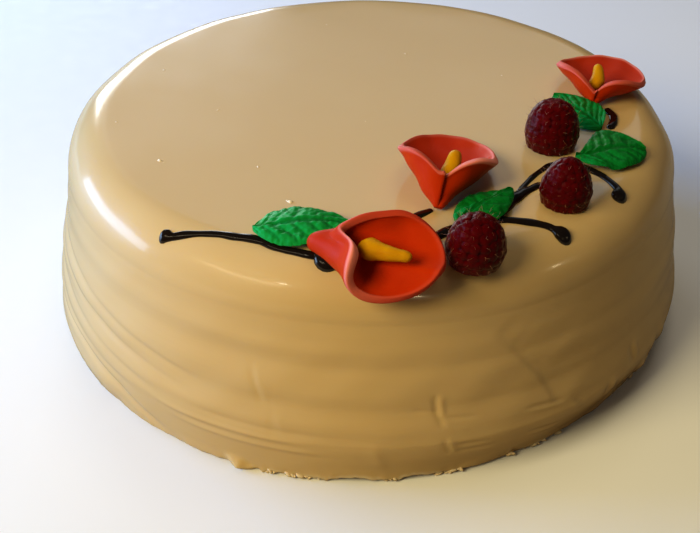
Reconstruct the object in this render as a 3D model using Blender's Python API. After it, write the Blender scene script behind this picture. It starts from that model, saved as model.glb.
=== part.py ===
"""Caramel glazed layer cake with fondant callas and leaves, raspberries and chocolate strokes.

Metres, +Z up. The origin is the middle of the flat underside. Azimuths run from +X, and the
decorated front of the cake faces -Y.
"""

import math

import bmesh
import bpy
from mathutils import Matrix, Vector

MM = 0.001

# The glazed body
CAKE_HEIGHT = 70.3 * MM
SHOULDER_TOP_RADIUS = 87.7 * MM
SHOULDER_RADIUS = 102.6 * MM
SHOULDER_DROP = 14.9 * MM
BULGE_RADIUS = 109.4 * MM
BULGE_HEIGHT = 16.0 * MM
FOOT_EDGE = 1.3 * MM
FOOT_SLOPE = 0.8
FOOT_TUCK = 0.6 * MM
TUCK_START = -3.2 * MM
FRONT_TUCK = 5.2 * MM
FRONT_TUCK_AZIMUTH = math.radians(-46)
FRONT_TUCK_SPREAD = math.radians(38)
BODY_SEGMENTS = 80
SIDE_HEIGHTS = [h * MM for h in (0.0, 1.4, 4.5, 9, 13, 17, 21, 25, 29, 33, 37, 41, 45, 49, 52.5)]
SHOULDER_STEPS = 6
TOP_RINGS = (0.5,)

# Marks of the palette knife: height, half height, depth, middle azimuth, spread in degrees
KNIFE_BANDS = (
    (47.0, 3.0, 0.45, -120, 70),
    (41.0, 2.6, -0.55, -100, 60),
    (34.5, 3.0, 0.60, -130, 50),
    (28.0, 2.4, -0.50, -80, 75),
    (21.5, 3.0, 0.65, -110, 60),
    (38.0, 3.6, 0.55, 20, 80),
    (25.0, 3.2, -0.60, 60, 90),
    (44.0, 3.0, -0.40, 150, 70),
    (31.0, 3.4, 0.50, 170, 60),
)

# Everything laid on the glaze stays this far above it
GAP = 0.4 * MM

# Chocolate strokes: x, y and half width in mm along each line
STROKE_SINK = 1.0 * MM
STROKE_CREST = 0.88
STROKE_STEP = 2.5 * MM
STROKE_SIDES = 8
STROKE_FOOT = 0.9
STROKE_ROOT = 0.3
# Round ends of a stroke: how far out in half widths, and how wide
STROKE_CAPS = ((0.55, 0.84), (0.92, 0.40))
# What lies over a stroke clears its crest and slopes down to the glaze this far from its edge
DRAPE_CLEARANCE = 0.1 * MM
DRAPE_FLAT = 0.4 * MM
DRAPE_REACH = 3.2 * MM
STROKES = {
    "left_twig": (
        (-58.8, -77.4, 2.3), (-56.2, -78.4, 1.5), (-51.2, -79.1, 1.3), (-46.8, -79.8, 1.3),
        (-42.4, -80.6, 1.5), (-38.1, -81.9, 1.9), (-33.8, -82.6, 2.0), (-30.0, -84.0, 1.8),
        (-26.8, -86.4, 1.7), (-23.6, -88.0, 1.6), (-20.8, -88.8, 1.4),
    ),
    "tail_drop": ((-15.6, -92.4, 1.1), (-13.2, -93.8, 1.4), (-10.8, -94.8, 1.3)),
    "calla_stem": ((14.6, -69.0, 1.5), (11.9, -71.4, 1.7), (9.6, -74.2, 1.6)),
    "branch": (
        (18.0, -81.2, 1.6), (20.3, -79.2, 1.8), (23.6, -76.3, 1.6), (29.0, -72.8, 1.5),
        (35.0, -69.6, 1.8), (39.4, -65.2, 1.9), (42.0, -61.0, 1.9), (45.6, -56.2, 1.7),
        (48.8, -53.4, 1.5), (51.0, -51.4, 1.3),
    ),
    "right_twig": (
        (36.0, -71.2, 1.4), (39.9, -71.3, 1.3), (43.3, -71.8, 1.4), (47.6, -72.8, 1.5),
        (51.2, -74.0, 1.6), (53.6, -75.4, 2.1), (55.2, -76.4, 2.8),
    ),
    "thin_twig": (
        (43.0, -59.2, 1.2), (44.4, -56.0, 1.0), (46.6, -51.6, 1.0), (49.8, -46.3, 1.0),
        (52.7, -42.6, 1.0), (55.9, -39.2, 1.0), (60.4, -37.6, 1.0), (64.6, -39.2, 1.1),
        (67.9, -42.0, 1.3), (70.8, -44.8, 1.4), (73.3, -49.0, 1.5), (75.0, -53.0, 1.7),
        (75.8, -55.6, 2.0),
    ),
    "far_stub": ((79.6, -2.4, 1.3), (80.8, -6.0, 1.5), (80.2, -10.4, 1.5), (78.8, -13.8, 1.3)),
}

# Raspberries: foot x, y, radius, height, taper towards the tip, lean outwards in degrees
BERRIES = {
    "raspberry_1": (28.9, -90.0, 8.8, 14.6, 0.62, 7.0),
    "raspberry_2": (57.5, -60.6, 8.2, 14.6, 0.78, 2.0),
    "raspberry_3": (57.5, -26.2, 8.9, 15.4, 0.50, 0.0),
}
DRUPELETS_AROUND = 12
DRUPELET_ROWS = 7
DRUPELET_RELIEF = 0.75 * MM
BERRY_FOOT_TUCK = 0.16
BERRY_FOOT_SHARE = 0.22
BERRY_SEGMENTS = 48
BERRY_RINGS = 12

# Leaves: foot x, y, tip x, y, half widths left and right, arch, lift of the left and right edge
LEAVES = {
    "leaf_1": (-33.2, -81.0, -4.8, -76.6, 11.0, 9.6, 2.6, 0.6, 0.3),
    "leaf_2": (24.4, -77.2, 42.2, -58.4, 8.4, 6.6, 1.6, 0.5, 0.4),
    "leaf_3": (75.2, -16.8, 61.6, 4.8, 7.0, 7.9, 1.4, 0.0, 2.2),
    "leaf_4": (63.6, -37.4, 87.4, -30.2, 13.0, 9.4, 2.0, 1.8, 0.6),
}
# How far towards the tip each side is widest, and how full its outline is, left and right
LEAF_OUTLINES = {
    "leaf_1": ((0.86, 0.72), (0.86, 0.72)),
    "leaf_2": ((1.15, 0.62), (0.86, 0.72)),
    "leaf_3": ((0.86, 0.72), (1.0, 0.66)),
    "leaf_4": ((1.50, 0.86), (0.76, 0.62)),
}
LEAF_THICKNESS = 1.3 * MM
LEAF_VEIN = 0.35 * MM
LEAF_VEINS = 4
LEAF_LENGTH_STEPS = 14
LEAF_WIDTH_STEPS = 8

# Callas: a disc of fondant wrapped into a cone. Tip x, y, z in mm, heading, rise and roll of the
# axis in degrees, length of the long side and of the overlap, half angle, its change from the
# long side to the overlap and from there to the flanks, two- and three-fold waves of the rim,
# depth of the notch, belly of the long side, roundness of the tail, and how many degrees
# narrower the cone is at its tip
CALLAS = {
    "calla_1": ((-14.2, -88.7, 72.4), (-29.0, 10.6, 28.9), (35.7, 9.6), (21.0, -3.0, -9.6),
                (1.2, 1.0), (-1.4, -0.5), 0.0, 2.6, 3.6, 14.0),
    "calla_2": ((19.7, -67.2, 71.8), (75.3, 40.6, 5.0), (35.4, 9.4), (35.7, 4.3, -2.4),
                (1.4, 0.2), (2.1, 0.3), 2.0, 1.0, 0.0, 7.0),
    "calla_3": ((74.8, 0.4, 71.9), (66.3, 35.0, 5.7), (33.1, 4.6), (47.0, -8.0, -4.2),
                (1.5, 0.6), (1.4, -0.5), 1.5, 1.0, 0.0, 7.0),
}
SPATHE_THICKNESS = 1.9 * MM
SPATHE_SEGMENTS = 32
SPATHE_ROWS = (0.04, 0.13, 0.25, 0.42, 0.60, 0.78, 0.91, 1.0)
SPATHE_HOLLOW = 0.20
# Thickness of the rim and reach of its lip as shares of the sheet's, and how narrow the throat gets
RIM_SHARE = 0.75
LIP_SHARE = 0.8
THROAT_SHARE = 0.4
NOTCH_SPREAD = math.radians(22)

# Spadices: distance of the thick end and of the tip along the calla's axis, the shift of both
# ends towards the long side and towards the flank, thick and thin radius, all in mm
SPADICES = {
    "calla_1": ((14.8, 28.4), (-1.2, 0.0), (0.0, 0.0), (3.1, 1.5)),
    "calla_2": ((8.0, 17.6), (0.8, 0.2), (0.0, -2.2), (2.9, 2.0)),
    "calla_3": ((6.2, 13.6), (0.1, 0.0), (1.0, 2.2), (2.7, 1.6)),
}
SPADIX_SIDES = 10
SPADIX_RINGS = 6

# Colour, roughness
GLAZE = ((0.60, 0.40, 0.21), 0.12)
PETAL = ((0.62, 0.06, 0.02), 0.55)
YOLK = ((0.75, 0.42, 0.01), 0.5)
BERRY = ((0.14, 0.005, 0.012), 0.45)
LEAF = ((0.01, 0.19, 0.03), 0.4)


def smoothstep(low, high, value):
    """Return 0 below low, 1 above high and a smooth rise between."""
    share = min(1.0, max(0.0, (value - low) / (high - low)))
    return share * share * (3 - 2 * share)


def azimuth_bump(azimuth, middle, spread):
    """Return a bump round the cake that is 1 at its middle azimuth."""
    turn = (azimuth - middle + math.pi) % (2 * math.pi) - math.pi
    return math.exp(-((turn / spread) ** 2))


def side_radius(azimuth, height):
    """Return the radius of the glazed side at a height below the shoulder."""
    shoulder_foot = CAKE_HEIGHT - SHOULDER_DROP
    if height >= BULGE_HEIGHT:
        share = (height - BULGE_HEIGHT) / (shoulder_foot - BULGE_HEIGHT)
        radius = BULGE_RADIUS + (SHOULDER_RADIUS - BULGE_RADIUS) * share
    else:
        tuck = FOOT_TUCK + FRONT_TUCK * azimuth_bump(azimuth, FRONT_TUCK_AZIMUTH, FRONT_TUCK_SPREAD)
        radius = BULGE_RADIUS - tuck * (1 - smoothstep(TUCK_START, BULGE_HEIGHT, height))
    if height < FOOT_EDGE:
        radius -= (FOOT_EDGE - height) * FOOT_SLOPE
    for middle, half, depth, turn, spread in KNIFE_BANDS:
        band = math.exp(-(((height - middle * MM) / (half * MM)) ** 2))
        radius += depth * MM * band * azimuth_bump(azimuth, math.radians(turn), math.radians(spread))
    return radius


def glaze_height(x, y):
    """Return the height of the top and shoulder of the glaze over a point."""
    radius = math.hypot(x, y)
    share = min(0.999, max(0.0, (radius - SHOULDER_TOP_RADIUS) / (SHOULDER_RADIUS - SHOULDER_TOP_RADIUS)))
    return CAKE_HEIGHT - SHOULDER_DROP + SHOULDER_DROP * math.sqrt(1 - share * share)


def smooth_path(points, step):
    """Return points a step apart on a Catmull-Rom curve through the given ones."""
    ends = [tuple(2 * a - b for a, b in zip(points[0], points[1]))]
    ends += list(points)
    ends.append(tuple(2 * a - b for a, b in zip(points[-1], points[-2])))
    path = []
    for before, start, end, after in zip(ends, ends[1:], ends[2:], ends[3:]):
        parts = max(1, round(math.dist(start[:2], end[:2]) * MM / step))
        for part in range(parts):
            t = part / parts
            path.append(tuple(
                0.5 * (2 * q + (r - p) * t + (2 * p - 5 * q + 4 * r - s) * t * t
                       + (3 * q - p - 3 * r + s) * t ** 3)
                for p, q, r, s in zip(before, start, end, after)))
    path.append(tuple(points[-1]))
    return [tuple(value * MM for value in point) for point in path]


STROKE_PATHS = {name: smooth_path(points, STROKE_STEP) for name, points in STROKES.items()}
DRAPE_POINTS = [point for path in STROKE_PATHS.values() for point in path]


def drape_height(x, y):
    """Return the height of the glaze and, smoothed outwards, of the strokes over a point."""
    lift = 0.0
    for stroke_x, stroke_y, half in DRAPE_POINTS:
        away = math.hypot(x - stroke_x, y - stroke_y)
        crest = half * STROKE_CREST + DRAPE_CLEARANCE
        lift = max(lift, crest * (1 - smoothstep(half + DRAPE_FLAT, half + DRAPE_REACH, away)))
    return glaze_height(x, y) + lift


def material(name, finish):
    """Return a Principled material of one colour and roughness."""
    made = bpy.data.materials.new(name)
    made.use_nodes = True
    shader = made.node_tree.nodes["Principled BSDF"]
    shader.inputs["Base Color"].default_value = (*finish[0], 1.0)
    shader.inputs["Roughness"].default_value = finish[1]
    shader.inputs["Metallic"].default_value = 0.0
    return made


def add_object(name, mesh_builder, finish=None, smooth=True):
    """Turn a bmesh into a named object and return it."""
    bmesh.ops.recalc_face_normals(mesh_builder, faces=mesh_builder.faces)
    mesh = bpy.data.meshes.new(name)
    mesh_builder.to_mesh(mesh)
    mesh_builder.free()
    made = bpy.data.objects.new(name, mesh)
    bpy.context.scene.collection.objects.link(made)
    if finish:
        mesh.materials.append(material(name, finish))
    if smooth:
        mesh.shade_smooth()
    return made


def loft(rings, start=None, end=None):
    """Join closed rings of points into one skin, closed by a point or a face at each end."""
    builder = bmesh.new()
    rows = [[builder.verts.new(point) for point in ring] for ring in rings]
    for row, following in zip(rows, rows[1:]):
        for index in range(len(row)):
            after = (index + 1) % len(row)
            builder.faces.new((row[index], row[after], following[after], following[index]))
    for row, point in ((rows[0], start), (rows[-1], end)):
        if point is None:
            builder.faces.new(row)
            continue
        pole = builder.verts.new(point)
        for index in range(len(row)):
            builder.faces.new((row[index], row[(index + 1) % len(row)], pole))
    return builder


def build_body():
    """Return the glazed body without its strokes."""
    azimuths = [2 * math.pi * index / BODY_SEGMENTS for index in range(BODY_SEGMENTS)]
    rings = []
    for height in SIDE_HEIGHTS:
        rings.append([
            (side_radius(turn, height) * math.cos(turn), side_radius(turn, height) * math.sin(turn), height)
            for turn in azimuths])
    reach = SHOULDER_RADIUS - SHOULDER_TOP_RADIUS
    for step in range(SHOULDER_STEPS + 1):
        bend = math.pi / 2 * step / SHOULDER_STEPS
        radius = SHOULDER_TOP_RADIUS + reach * math.cos(bend)
        height = CAKE_HEIGHT - SHOULDER_DROP * (1 - math.sin(bend))
        rings.append([(radius * math.cos(turn), radius * math.sin(turn), height) for turn in azimuths])
    for share in TOP_RINGS:
        radius = SHOULDER_TOP_RADIUS * share
        rings.append([(radius * math.cos(turn), radius * math.sin(turn), CAKE_HEIGHT) for turn in azimuths])
    return add_object("body", loft(rings, start=(0, 0, 0), end=(0, 0, CAKE_HEIGHT)))


def build_stroke(name, path):
    """Return one chocolate stroke, round on top and sunk into the glaze."""
    rings = []
    last = len(path) - 1
    for index, (x, y, half) in enumerate(path):
        before, after = path[max(0, index - 1)], path[min(last, index + 1)]
        along = Vector((after[0] - before[0], after[1] - before[1], 0)).normalized()
        across = Vector((-along.y, along.x, 0))
        rings.append((Vector((x, y, 0)), across, half))
    first_along = Vector((rings[0][1].y, -rings[0][1].x, 0))
    last_along = Vector((rings[-1][1].y, -rings[-1][1].x, 0))
    head = [(rings[0][0] - first_along * rings[0][2] * out, rings[0][1], rings[0][2] * size)
            for out, size in reversed(STROKE_CAPS)]
    tail = [(rings[-1][0] + last_along * rings[-1][2] * out, rings[-1][1], rings[-1][2] * size)
            for out, size in STROKE_CAPS]
    skins = []
    for middle, across, half in head + rings + tail:
        ground = glaze_height(middle.x, middle.y)
        skin = []
        for side in range(STROKE_SIDES):
            bend = math.pi * side / (STROKE_SIDES - 1)
            point = middle + across * half * math.cos(bend)
            level = glaze_height(point.x, point.y)
            skin.append((point.x, point.y, level + half * STROKE_CREST * math.sin(bend)))
        skin.append((*(middle - across * half * STROKE_FOOT).xy, ground - STROKE_SINK - half * STROKE_ROOT))
        skin.append((*(middle + across * half * STROKE_FOOT).xy, ground - STROKE_SINK - half * STROKE_ROOT))
        skins.append(skin)
    return add_object(name, loft(skins))


def build_cake():
    """Return the glazed body fused with its chocolate strokes."""
    body = build_body()
    strokes = bpy.data.collections.new("strokes")
    bpy.context.scene.collection.children.link(strokes)
    for name, path in STROKE_PATHS.items():
        stroke = build_stroke(name, path)
        bpy.context.scene.collection.objects.unlink(stroke)
        strokes.objects.link(stroke)
    union = body.modifiers.new("strokes", "BOOLEAN")
    union.operation = "UNION"
    union.operand_type = "COLLECTION"
    union.collection = strokes
    union.solver = "EXACT"
    bpy.context.view_layer.update()
    fused = bpy.data.meshes.new_from_object(body.evaluated_get(bpy.context.evaluated_depsgraph_get()))
    cake = bpy.data.objects.new("cake", fused)
    bpy.context.scene.collection.objects.link(cake)
    for stroke in list(strokes.objects):
        bpy.data.objects.remove(stroke)
    bpy.data.collections.remove(strokes)
    bpy.data.objects.remove(body)
    fused.materials.clear()
    fused.materials.append(material("cake", GLAZE))
    fused.shade_smooth()
    fused.set_sharp_from_angle(angle=math.radians(40))
    return cake


def settle(builder):
    """Lower or raise a piece until its lowest clearance over what carries it is the gap."""
    reach = SHOULDER_RADIUS - 1.0 * MM
    clearance = min(
        vert.co.z - drape_height(vert.co.x, vert.co.y)
        for vert in builder.verts if math.hypot(vert.co.x, vert.co.y) < reach)
    bmesh.ops.translate(builder, verts=builder.verts, vec=(0, 0, GAP - clearance))
    return GAP - clearance


def drupelet_bump(azimuth, row_place):
    """Return 0 between the drupelets and 1 on top of one."""
    row = math.floor(row_place)
    turn = azimuth / (2 * math.pi) * DRUPELETS_AROUND + 0.5 * (row % 2)
    across = abs(turn - math.floor(turn) - 0.5) * 2
    along = abs(row_place - row - 0.5) * 2
    return math.sqrt(max(0.0, 1 - 0.8 * across ** 2 - 0.6 * along ** 2))


def build_berry(name, size):
    """Return a raspberry that stands on its open end."""
    foot_x, foot_y, radius, tall, taper, lean = size
    radius, tall = radius * MM, tall * MM
    rings = []
    for ring in range(BERRY_RINGS):
        share = ring / (BERRY_RINGS - 0.35)
        swell = math.cos(math.pi / 2 * share ** (1.9 - taper)) ** (0.62 + taper * 0.6)
        foot = 1 - BERRY_FOOT_TUCK * (1 - smoothstep(0.0, BERRY_FOOT_SHARE, share))
        height = tall * math.sin(math.pi / 2 * share ** 1.05)
        points = []
        for segment in range(BERRY_SEGMENTS):
            azimuth = 2 * math.pi * segment / BERRY_SEGMENTS
            bump = drupelet_bump(azimuth, share * DRUPELET_ROWS)
            out = radius * swell * foot - DRUPELET_RELIEF * (1 - bump) * min(1.0, swell * 1.6)
            points.append((out * math.cos(azimuth), out * math.sin(azimuth), height))
        rings.append(points)
    builder = loft(rings, end=(0, 0, tall))
    place = Vector((foot_x * MM, foot_y * MM, 0))
    outwards = place.normalized()
    axis = Vector((-outwards.y, outwards.x, 0))
    turned = Matrix.Rotation(math.radians(lean), 4, axis)
    bmesh.ops.transform(builder, matrix=turned, verts=builder.verts)
    bmesh.ops.translate(builder, verts=builder.verts, vec=(place.x, place.y, CAKE_HEIGHT))
    settle(builder)
    return add_object(name, builder, BERRY)


def leaf_vein(along, across):
    """Return how deep the pressed veins are at a point of a leaf, from 0 to 1."""
    midrib = math.exp(-((across / 0.10) ** 2))
    slanted = (along - 0.42 * abs(across)) * (LEAF_VEINS + 1)
    side = math.exp(-((abs(slanted - round(slanted)) / 0.16) ** 2)) * smoothstep(0.05, 0.25, abs(across))
    return max(midrib, 0.7 * side * (1 - smoothstep(0.75, 1.0, abs(across))))


def build_leaf(name, size):
    """Return a thin fondant leaf draped over what lies below it."""
    foot_x, foot_y, tip_x, tip_y, left, right, arch, left_lift, right_lift = (v * MM for v in size)
    foot, tip = Vector((foot_x, foot_y)), Vector((tip_x, tip_y))
    along_leaf = tip - foot
    across_leaf = Vector((-along_leaf.y, along_leaf.x)).normalized()
    builder = bmesh.new()
    low, high = [], []
    for row in range(1, LEAF_LENGTH_STEPS):
        along = row / LEAF_LENGTH_STEPS
        outlines = [math.sin(math.pi * along ** lean) ** fullness for lean, fullness in LEAF_OUTLINES[name]]
        low_row, high_row = [], []
        for column in range(LEAF_WIDTH_STEPS + 1):
            across = 2 * column / LEAF_WIDTH_STEPS - 1
            half = left if across > 0 else right
            edge_lift = left_lift if across > 0 else right_lift
            outline = outlines[0] if across > 0 else outlines[1]
            place = foot + along_leaf * along + across_leaf * across * half * outline
            rise = arch * math.sin(math.pi * along) * (1 - across * across) + edge_lift * across * across
            level = drape_height(place.x, place.y) + GAP + rise
            thick = LEAF_THICKNESS * (1 - 0.35 * across * across) - LEAF_VEIN * leaf_vein(along, across)
            low_row.append(builder.verts.new((place.x, place.y, level)))
            high_row.append(builder.verts.new((place.x, place.y, level + thick)))
        low.append(low_row)
        high.append(high_row)
    for sheet, flip in ((low, True), (high, False)):
        for row, following in zip(sheet, sheet[1:]):
            for index in range(LEAF_WIDTH_STEPS):
                corners = (row[index], row[index + 1], following[index + 1], following[index])
                for face in ((0, 1, 2), (0, 2, 3)):
                    picked = [corners[place] for place in (reversed(face) if flip else face)]
                    builder.faces.new(picked)
    for side in (0, LEAF_WIDTH_STEPS):
        for index in range(len(low) - 1):
            corners = (low[index][side], low[index + 1][side], high[index + 1][side], high[index][side])
            builder.faces.new(corners)
    for end_low, end_high, point in ((low[0], high[0], foot), (low[-1], high[-1], tip)):
        level = drape_height(point.x, point.y) + GAP
        end = builder.verts.new((point.x, point.y, level + LEAF_THICKNESS * 0.5))
        for index in range(LEAF_WIDTH_STEPS):
            builder.faces.new((end_low[index], end_low[index + 1], end))
            builder.faces.new((end_high[index], end_high[index + 1], end))
        for side in (0, LEAF_WIDTH_STEPS):
            builder.faces.new((end_low[side], end_high[side], end))
    return add_object(name, builder, LEAF)


def calla_axes(heading, rise, roll):
    """Return a calla's axis and the directions to its long side and to its flank."""
    heading, rise, roll = (math.radians(angle) for angle in (heading, rise, roll))
    axis = Vector((math.cos(rise) * math.cos(heading), math.cos(rise) * math.sin(heading), math.sin(rise)))
    flank = Vector((-math.sin(heading), math.cos(heading), 0))
    down = axis.cross(flank)
    if down.z > 0:
        down = -down
    long_side = down * math.cos(roll) + flank * math.sin(roll)
    return axis, long_side, axis.cross(long_side)


def spathe_point(shape, turn, share):
    """Return a point of the wrapped sheet: turn runs round it, share from its tip to its rim."""
    tip, pose, lengths, angles, double, triple, notch, belly, tail, neck = shape
    axis, long_side, flank = calla_axes(*pose)
    long, overlap = lengths
    reach = overlap + (long - overlap) * math.cos(turn / 2) ** 2
    reach += double[0] * math.cos(2 * turn) + double[1] * math.sin(2 * turn)
    reach += triple[0] * math.cos(3 * turn) + triple[1] * math.sin(3 * turn)
    to_seam = math.pi - abs(turn)
    reach -= notch * math.exp(-to_seam / NOTCH_SPREAD)
    spread = math.radians(angles[0] + angles[1] * math.cos(turn) + angles[2] * math.cos(2 * turn))
    spread -= math.radians(neck) * (1 - share) ** 1.5
    out = long_side * math.cos(turn) + flank * math.sin(turn)
    sag = belly * math.sin(math.pi * share) * (0.5 + 0.5 * math.cos(turn))
    sag += tail * math.sqrt(share) * (1 - share) ** 1.3 * (0.55 - 0.45 * math.cos(turn))
    sheet = (axis * math.cos(spread) + out * math.sin(spread)) * reach * share + out * sag
    return (Vector(tip) + sheet) * MM


def spathe_normal(shape, turn, share):
    """Return the outward direction of the wrapped sheet at a point."""
    small = 0.01
    low, high = max(0.02, share - small), min(1.0, share + small)
    along = spathe_point(shape, turn, high) - spathe_point(shape, turn, low)
    across = spathe_point(shape, turn + small, share) - spathe_point(shape, turn - small, share)
    return across.cross(along).normalized()


def build_spathe(name, shape):
    """Return the wrapped sheet of a calla, with its thick rounded rim, and how far it settled."""
    turns = [2 * math.pi * index / SPATHE_SEGMENTS - math.pi for index in range(SPATHE_SEGMENTS)]
    half = SPATHE_THICKNESS / 2
    axis = calla_axes(*shape[1])[0]
    rings = []
    for share in SPATHE_ROWS:
        thick = half * (1 if share < 1 else RIM_SHARE)
        rings.append([spathe_point(shape, turn, share) + spathe_normal(shape, turn, share) * thick
                      for turn in turns])
    lip = []
    for turn in turns:
        rim = spathe_point(shape, turn, 1.0)
        lip.append(rim + (rim - spathe_point(shape, turn, 0.95)).normalized() * half * LIP_SHARE)
    rings.append(lip)
    tip = Vector(shape[0]) * MM
    for share in reversed([row for row in SPATHE_ROWS if row > SPATHE_HOLLOW]):
        thick = half * (1 if share < 1 else RIM_SHARE)
        hollow = []
        for turn in turns:
            point = spathe_point(shape, turn, share)
            centre = tip + axis * (point - tip).dot(axis)
            out = point - centre
            hollow.append(centre + out.normalized() * max(out.length * THROAT_SHARE, out.length - thick))
        rings.append(hollow)
    throat = sum(rings[-1], Vector()) / len(rings[-1])
    builder = loft(rings, start=tip - axis * half, end=throat)
    risen = settle(builder)
    return add_object(name, builder, PETAL), risen


def build_spadix(name, shape, size, risen):
    """Return the yellow finger that lies in a calla."""
    (start, end), shifts, flanks, (thick, thin) = size
    axis, long_side, flank = calla_axes(*shape[1])
    foot = Vector(shape[0]) + axis * start + long_side * shifts[0] + flank * flanks[0]
    top = Vector(shape[0]) + axis * end + long_side * shifts[1] + flank * flanks[1]
    along = (top - foot).normalized()
    across = along.orthogonal().normalized()
    beside = along.cross(across)
    rings = []
    for ring in range(SPADIX_RINGS):
        share = ring / (SPADIX_RINGS - 1)
        radius = (thick + (thin - thick) * share) * (1 - 0.35 * (1 - smoothstep(0, 0.15, share)))
        middle = foot + (top - foot) * share
        rings.append([
            (middle + (across * math.cos(turn) + beside * math.sin(turn)) * radius) * MM
            for turn in (2 * math.pi * side / SPADIX_SIDES for side in range(SPADIX_SIDES))])
    builder = loft(rings, start=(foot - along * thick * 0.4) * MM, end=(top + along * thin * 0.7) * MM)
    bmesh.ops.translate(builder, verts=builder.verts, vec=(0, 0, risen))
    return add_object(name, builder, YOLK)


def main():
    """Build every piece of the cake."""
    for old in list(bpy.data.objects):
        bpy.data.objects.remove(old)
    build_cake()
    for name, size in BERRIES.items():
        build_berry(name, size)
    for name, size in LEAVES.items():
        build_leaf(name, size)
    for name, shape in CALLAS.items():
        _, risen = build_spathe(f"{name}_spathe", shape)
        build_spadix(f"{name}_spadix", shape, SPADICES[name], risen)


main()
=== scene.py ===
"""Looks of a round caramel glazed layer cake.

The glazed body, the piped chocolate, the fondant callas and leaves and the raspberries are built
again at full detail in the places that the solids give them. Lengths are metres and +Z is up. The
origin is the middle of the flat underside, azimuths run from +X, and the decorated front faces -Y.
"""

import logging
import math
from abc import ABC, abstractmethod
from dataclasses import dataclass, field, replace

import bpy
import numpy as np
from mathutils import Matrix, Vector


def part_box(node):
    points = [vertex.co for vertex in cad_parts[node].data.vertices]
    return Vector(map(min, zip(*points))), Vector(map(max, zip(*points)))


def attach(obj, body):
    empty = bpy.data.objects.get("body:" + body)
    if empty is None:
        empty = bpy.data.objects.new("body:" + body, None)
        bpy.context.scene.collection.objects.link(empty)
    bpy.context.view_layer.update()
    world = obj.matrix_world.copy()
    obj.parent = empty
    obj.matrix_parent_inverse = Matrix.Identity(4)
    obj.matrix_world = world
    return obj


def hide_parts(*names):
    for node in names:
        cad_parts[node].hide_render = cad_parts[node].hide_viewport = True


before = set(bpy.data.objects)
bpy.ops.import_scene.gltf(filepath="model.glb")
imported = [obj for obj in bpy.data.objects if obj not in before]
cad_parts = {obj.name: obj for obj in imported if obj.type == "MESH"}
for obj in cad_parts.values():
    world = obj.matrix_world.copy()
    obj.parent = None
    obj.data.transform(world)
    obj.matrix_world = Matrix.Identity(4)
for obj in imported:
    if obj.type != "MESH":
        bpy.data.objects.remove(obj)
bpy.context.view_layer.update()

LOG = logging.getLogger("caramel_cake")
MM = 0.001
BODY = "root"

# Glazed body, as its solid but for the softer marks of the knife and a fuller foot at the left
CAKE_HEIGHT = 70.3 * MM
SHOULDER_TOP_RADIUS = 87.7 * MM
SHOULDER_RADIUS = 102.6 * MM
SHOULDER_DROP = 14.9 * MM
BULGE_RADIUS = 109.4 * MM
BULGE_HEIGHT = 16.0 * MM
FOOT_EDGE = 1.3 * MM
FOOT_TUCK = 0.6 * MM
FRONT_TUCK = 5.2 * MM
FRONT_TUCK_AZIMUTH = math.radians(-46)
FRONT_TUCK_SPREAD = math.radians(38)
GAP = 0.4 * MM

# Broad marks of the palette knife: height, half height, depth, middle azimuth, spread in degrees
KNIFE_BANDS = (
    (47.0, 3.0, 0.26, -120, 70),
    (41.0, 2.6, -0.30, -100, 60),
    (34.5, 3.0, 0.34, -130, 50),
    (28.0, 2.4, -0.26, -80, 75),
    (21.5, 3.0, 0.36, -110, 60),
    (38.0, 3.6, 0.55, 20, 80),
    (25.0, 3.2, -0.60, 60, 90),
    (44.0, 3.0, -0.40, 150, 70),
    (31.0, 3.4, 0.50, 170, 60),
    (14.0, 16.0, 0.90, -168, 34),
)

# Chocolate strokes: x, y and half width in mm along each line
STROKE_CREST = 0.88
STROKE_STEP = 0.6 * MM
DRAPE_STEP = 2.5 * MM
DRAPE_FLAT = 0.4 * MM
DRAPE_REACH = 3.2 * MM
STROKES = {
    "left_twig": (
        (-59.0, -77.2, 1.5), (-58.0, -77.5, 1.5), (-56.4, -78.2, 1.0), (-51.2, -78.9, 1.1),
        (-46.8, -79.6, 1.1), (-42.4, -80.4, 1.2), (-38.1, -81.7, 1.4), (-33.8, -82.6, 1.5),
        (-30.0, -84.0, 1.4), (-26.8, -86.2, 1.2), (-23.6, -87.6, 1.1), (-20.8, -88.4, 1.1),
        (-17.6, -89.5, 1.2), (-15.6, -90.0, 1.3),
    ),
    "tail_drop": ((-13.7, -90.0, 2.2), (-12.8, -91.4, 3.0), (-11.7, -92.4, 3.0), (-9.5, -92.5, 2.2)),
    "calla_stem": ((17.4, -66.8, 1.0), (14.6, -69.0, 1.4), (11.9, -71.4, 1.5), (9.6, -74.2, 1.5)),
    "branch": (
        (18.0, -81.2, 1.6), (20.3, -79.2, 1.8), (23.6, -76.3, 1.6), (29.0, -72.8, 1.5),
        (35.0, -69.6, 1.8), (39.4, -65.2, 1.9), (42.0, -61.0, 1.9), (45.6, -56.2, 1.7),
        (48.8, -53.4, 1.5), (51.0, -51.4, 1.3),
    ),
    "right_twig": (
        (36.0, -71.2, 1.4), (39.9, -71.3, 1.3), (43.3, -71.8, 1.4), (47.6, -72.8, 1.5),
        (51.2, -74.0, 1.3), (52.8, -74.9, 1.3), (54.2, -75.8, 2.3), (55.4, -76.6, 2.6),
    ),
    "thin_twig": (
        (43.0, -59.2, 1.1), (44.4, -56.0, 1.0), (46.6, -51.6, 1.0), (49.8, -46.3, 1.0),
        (52.7, -42.6, 1.0), (55.9, -39.2, 1.0), (60.4, -37.6, 1.0), (64.6, -39.2, 1.1),
        (67.9, -42.0, 1.3), (70.8, -44.8, 1.2), (73.3, -49.0, 1.3), (75.0, -52.6, 1.4),
        (75.4, -54.6, 2.0), (74.6, -55.6, 2.2),
    ),
    "far_stub": ((79.6, -2.4, 1.3), (80.8, -6.0, 1.5), (80.2, -10.4, 1.5), (78.8, -13.8, 1.3)),
}


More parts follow.
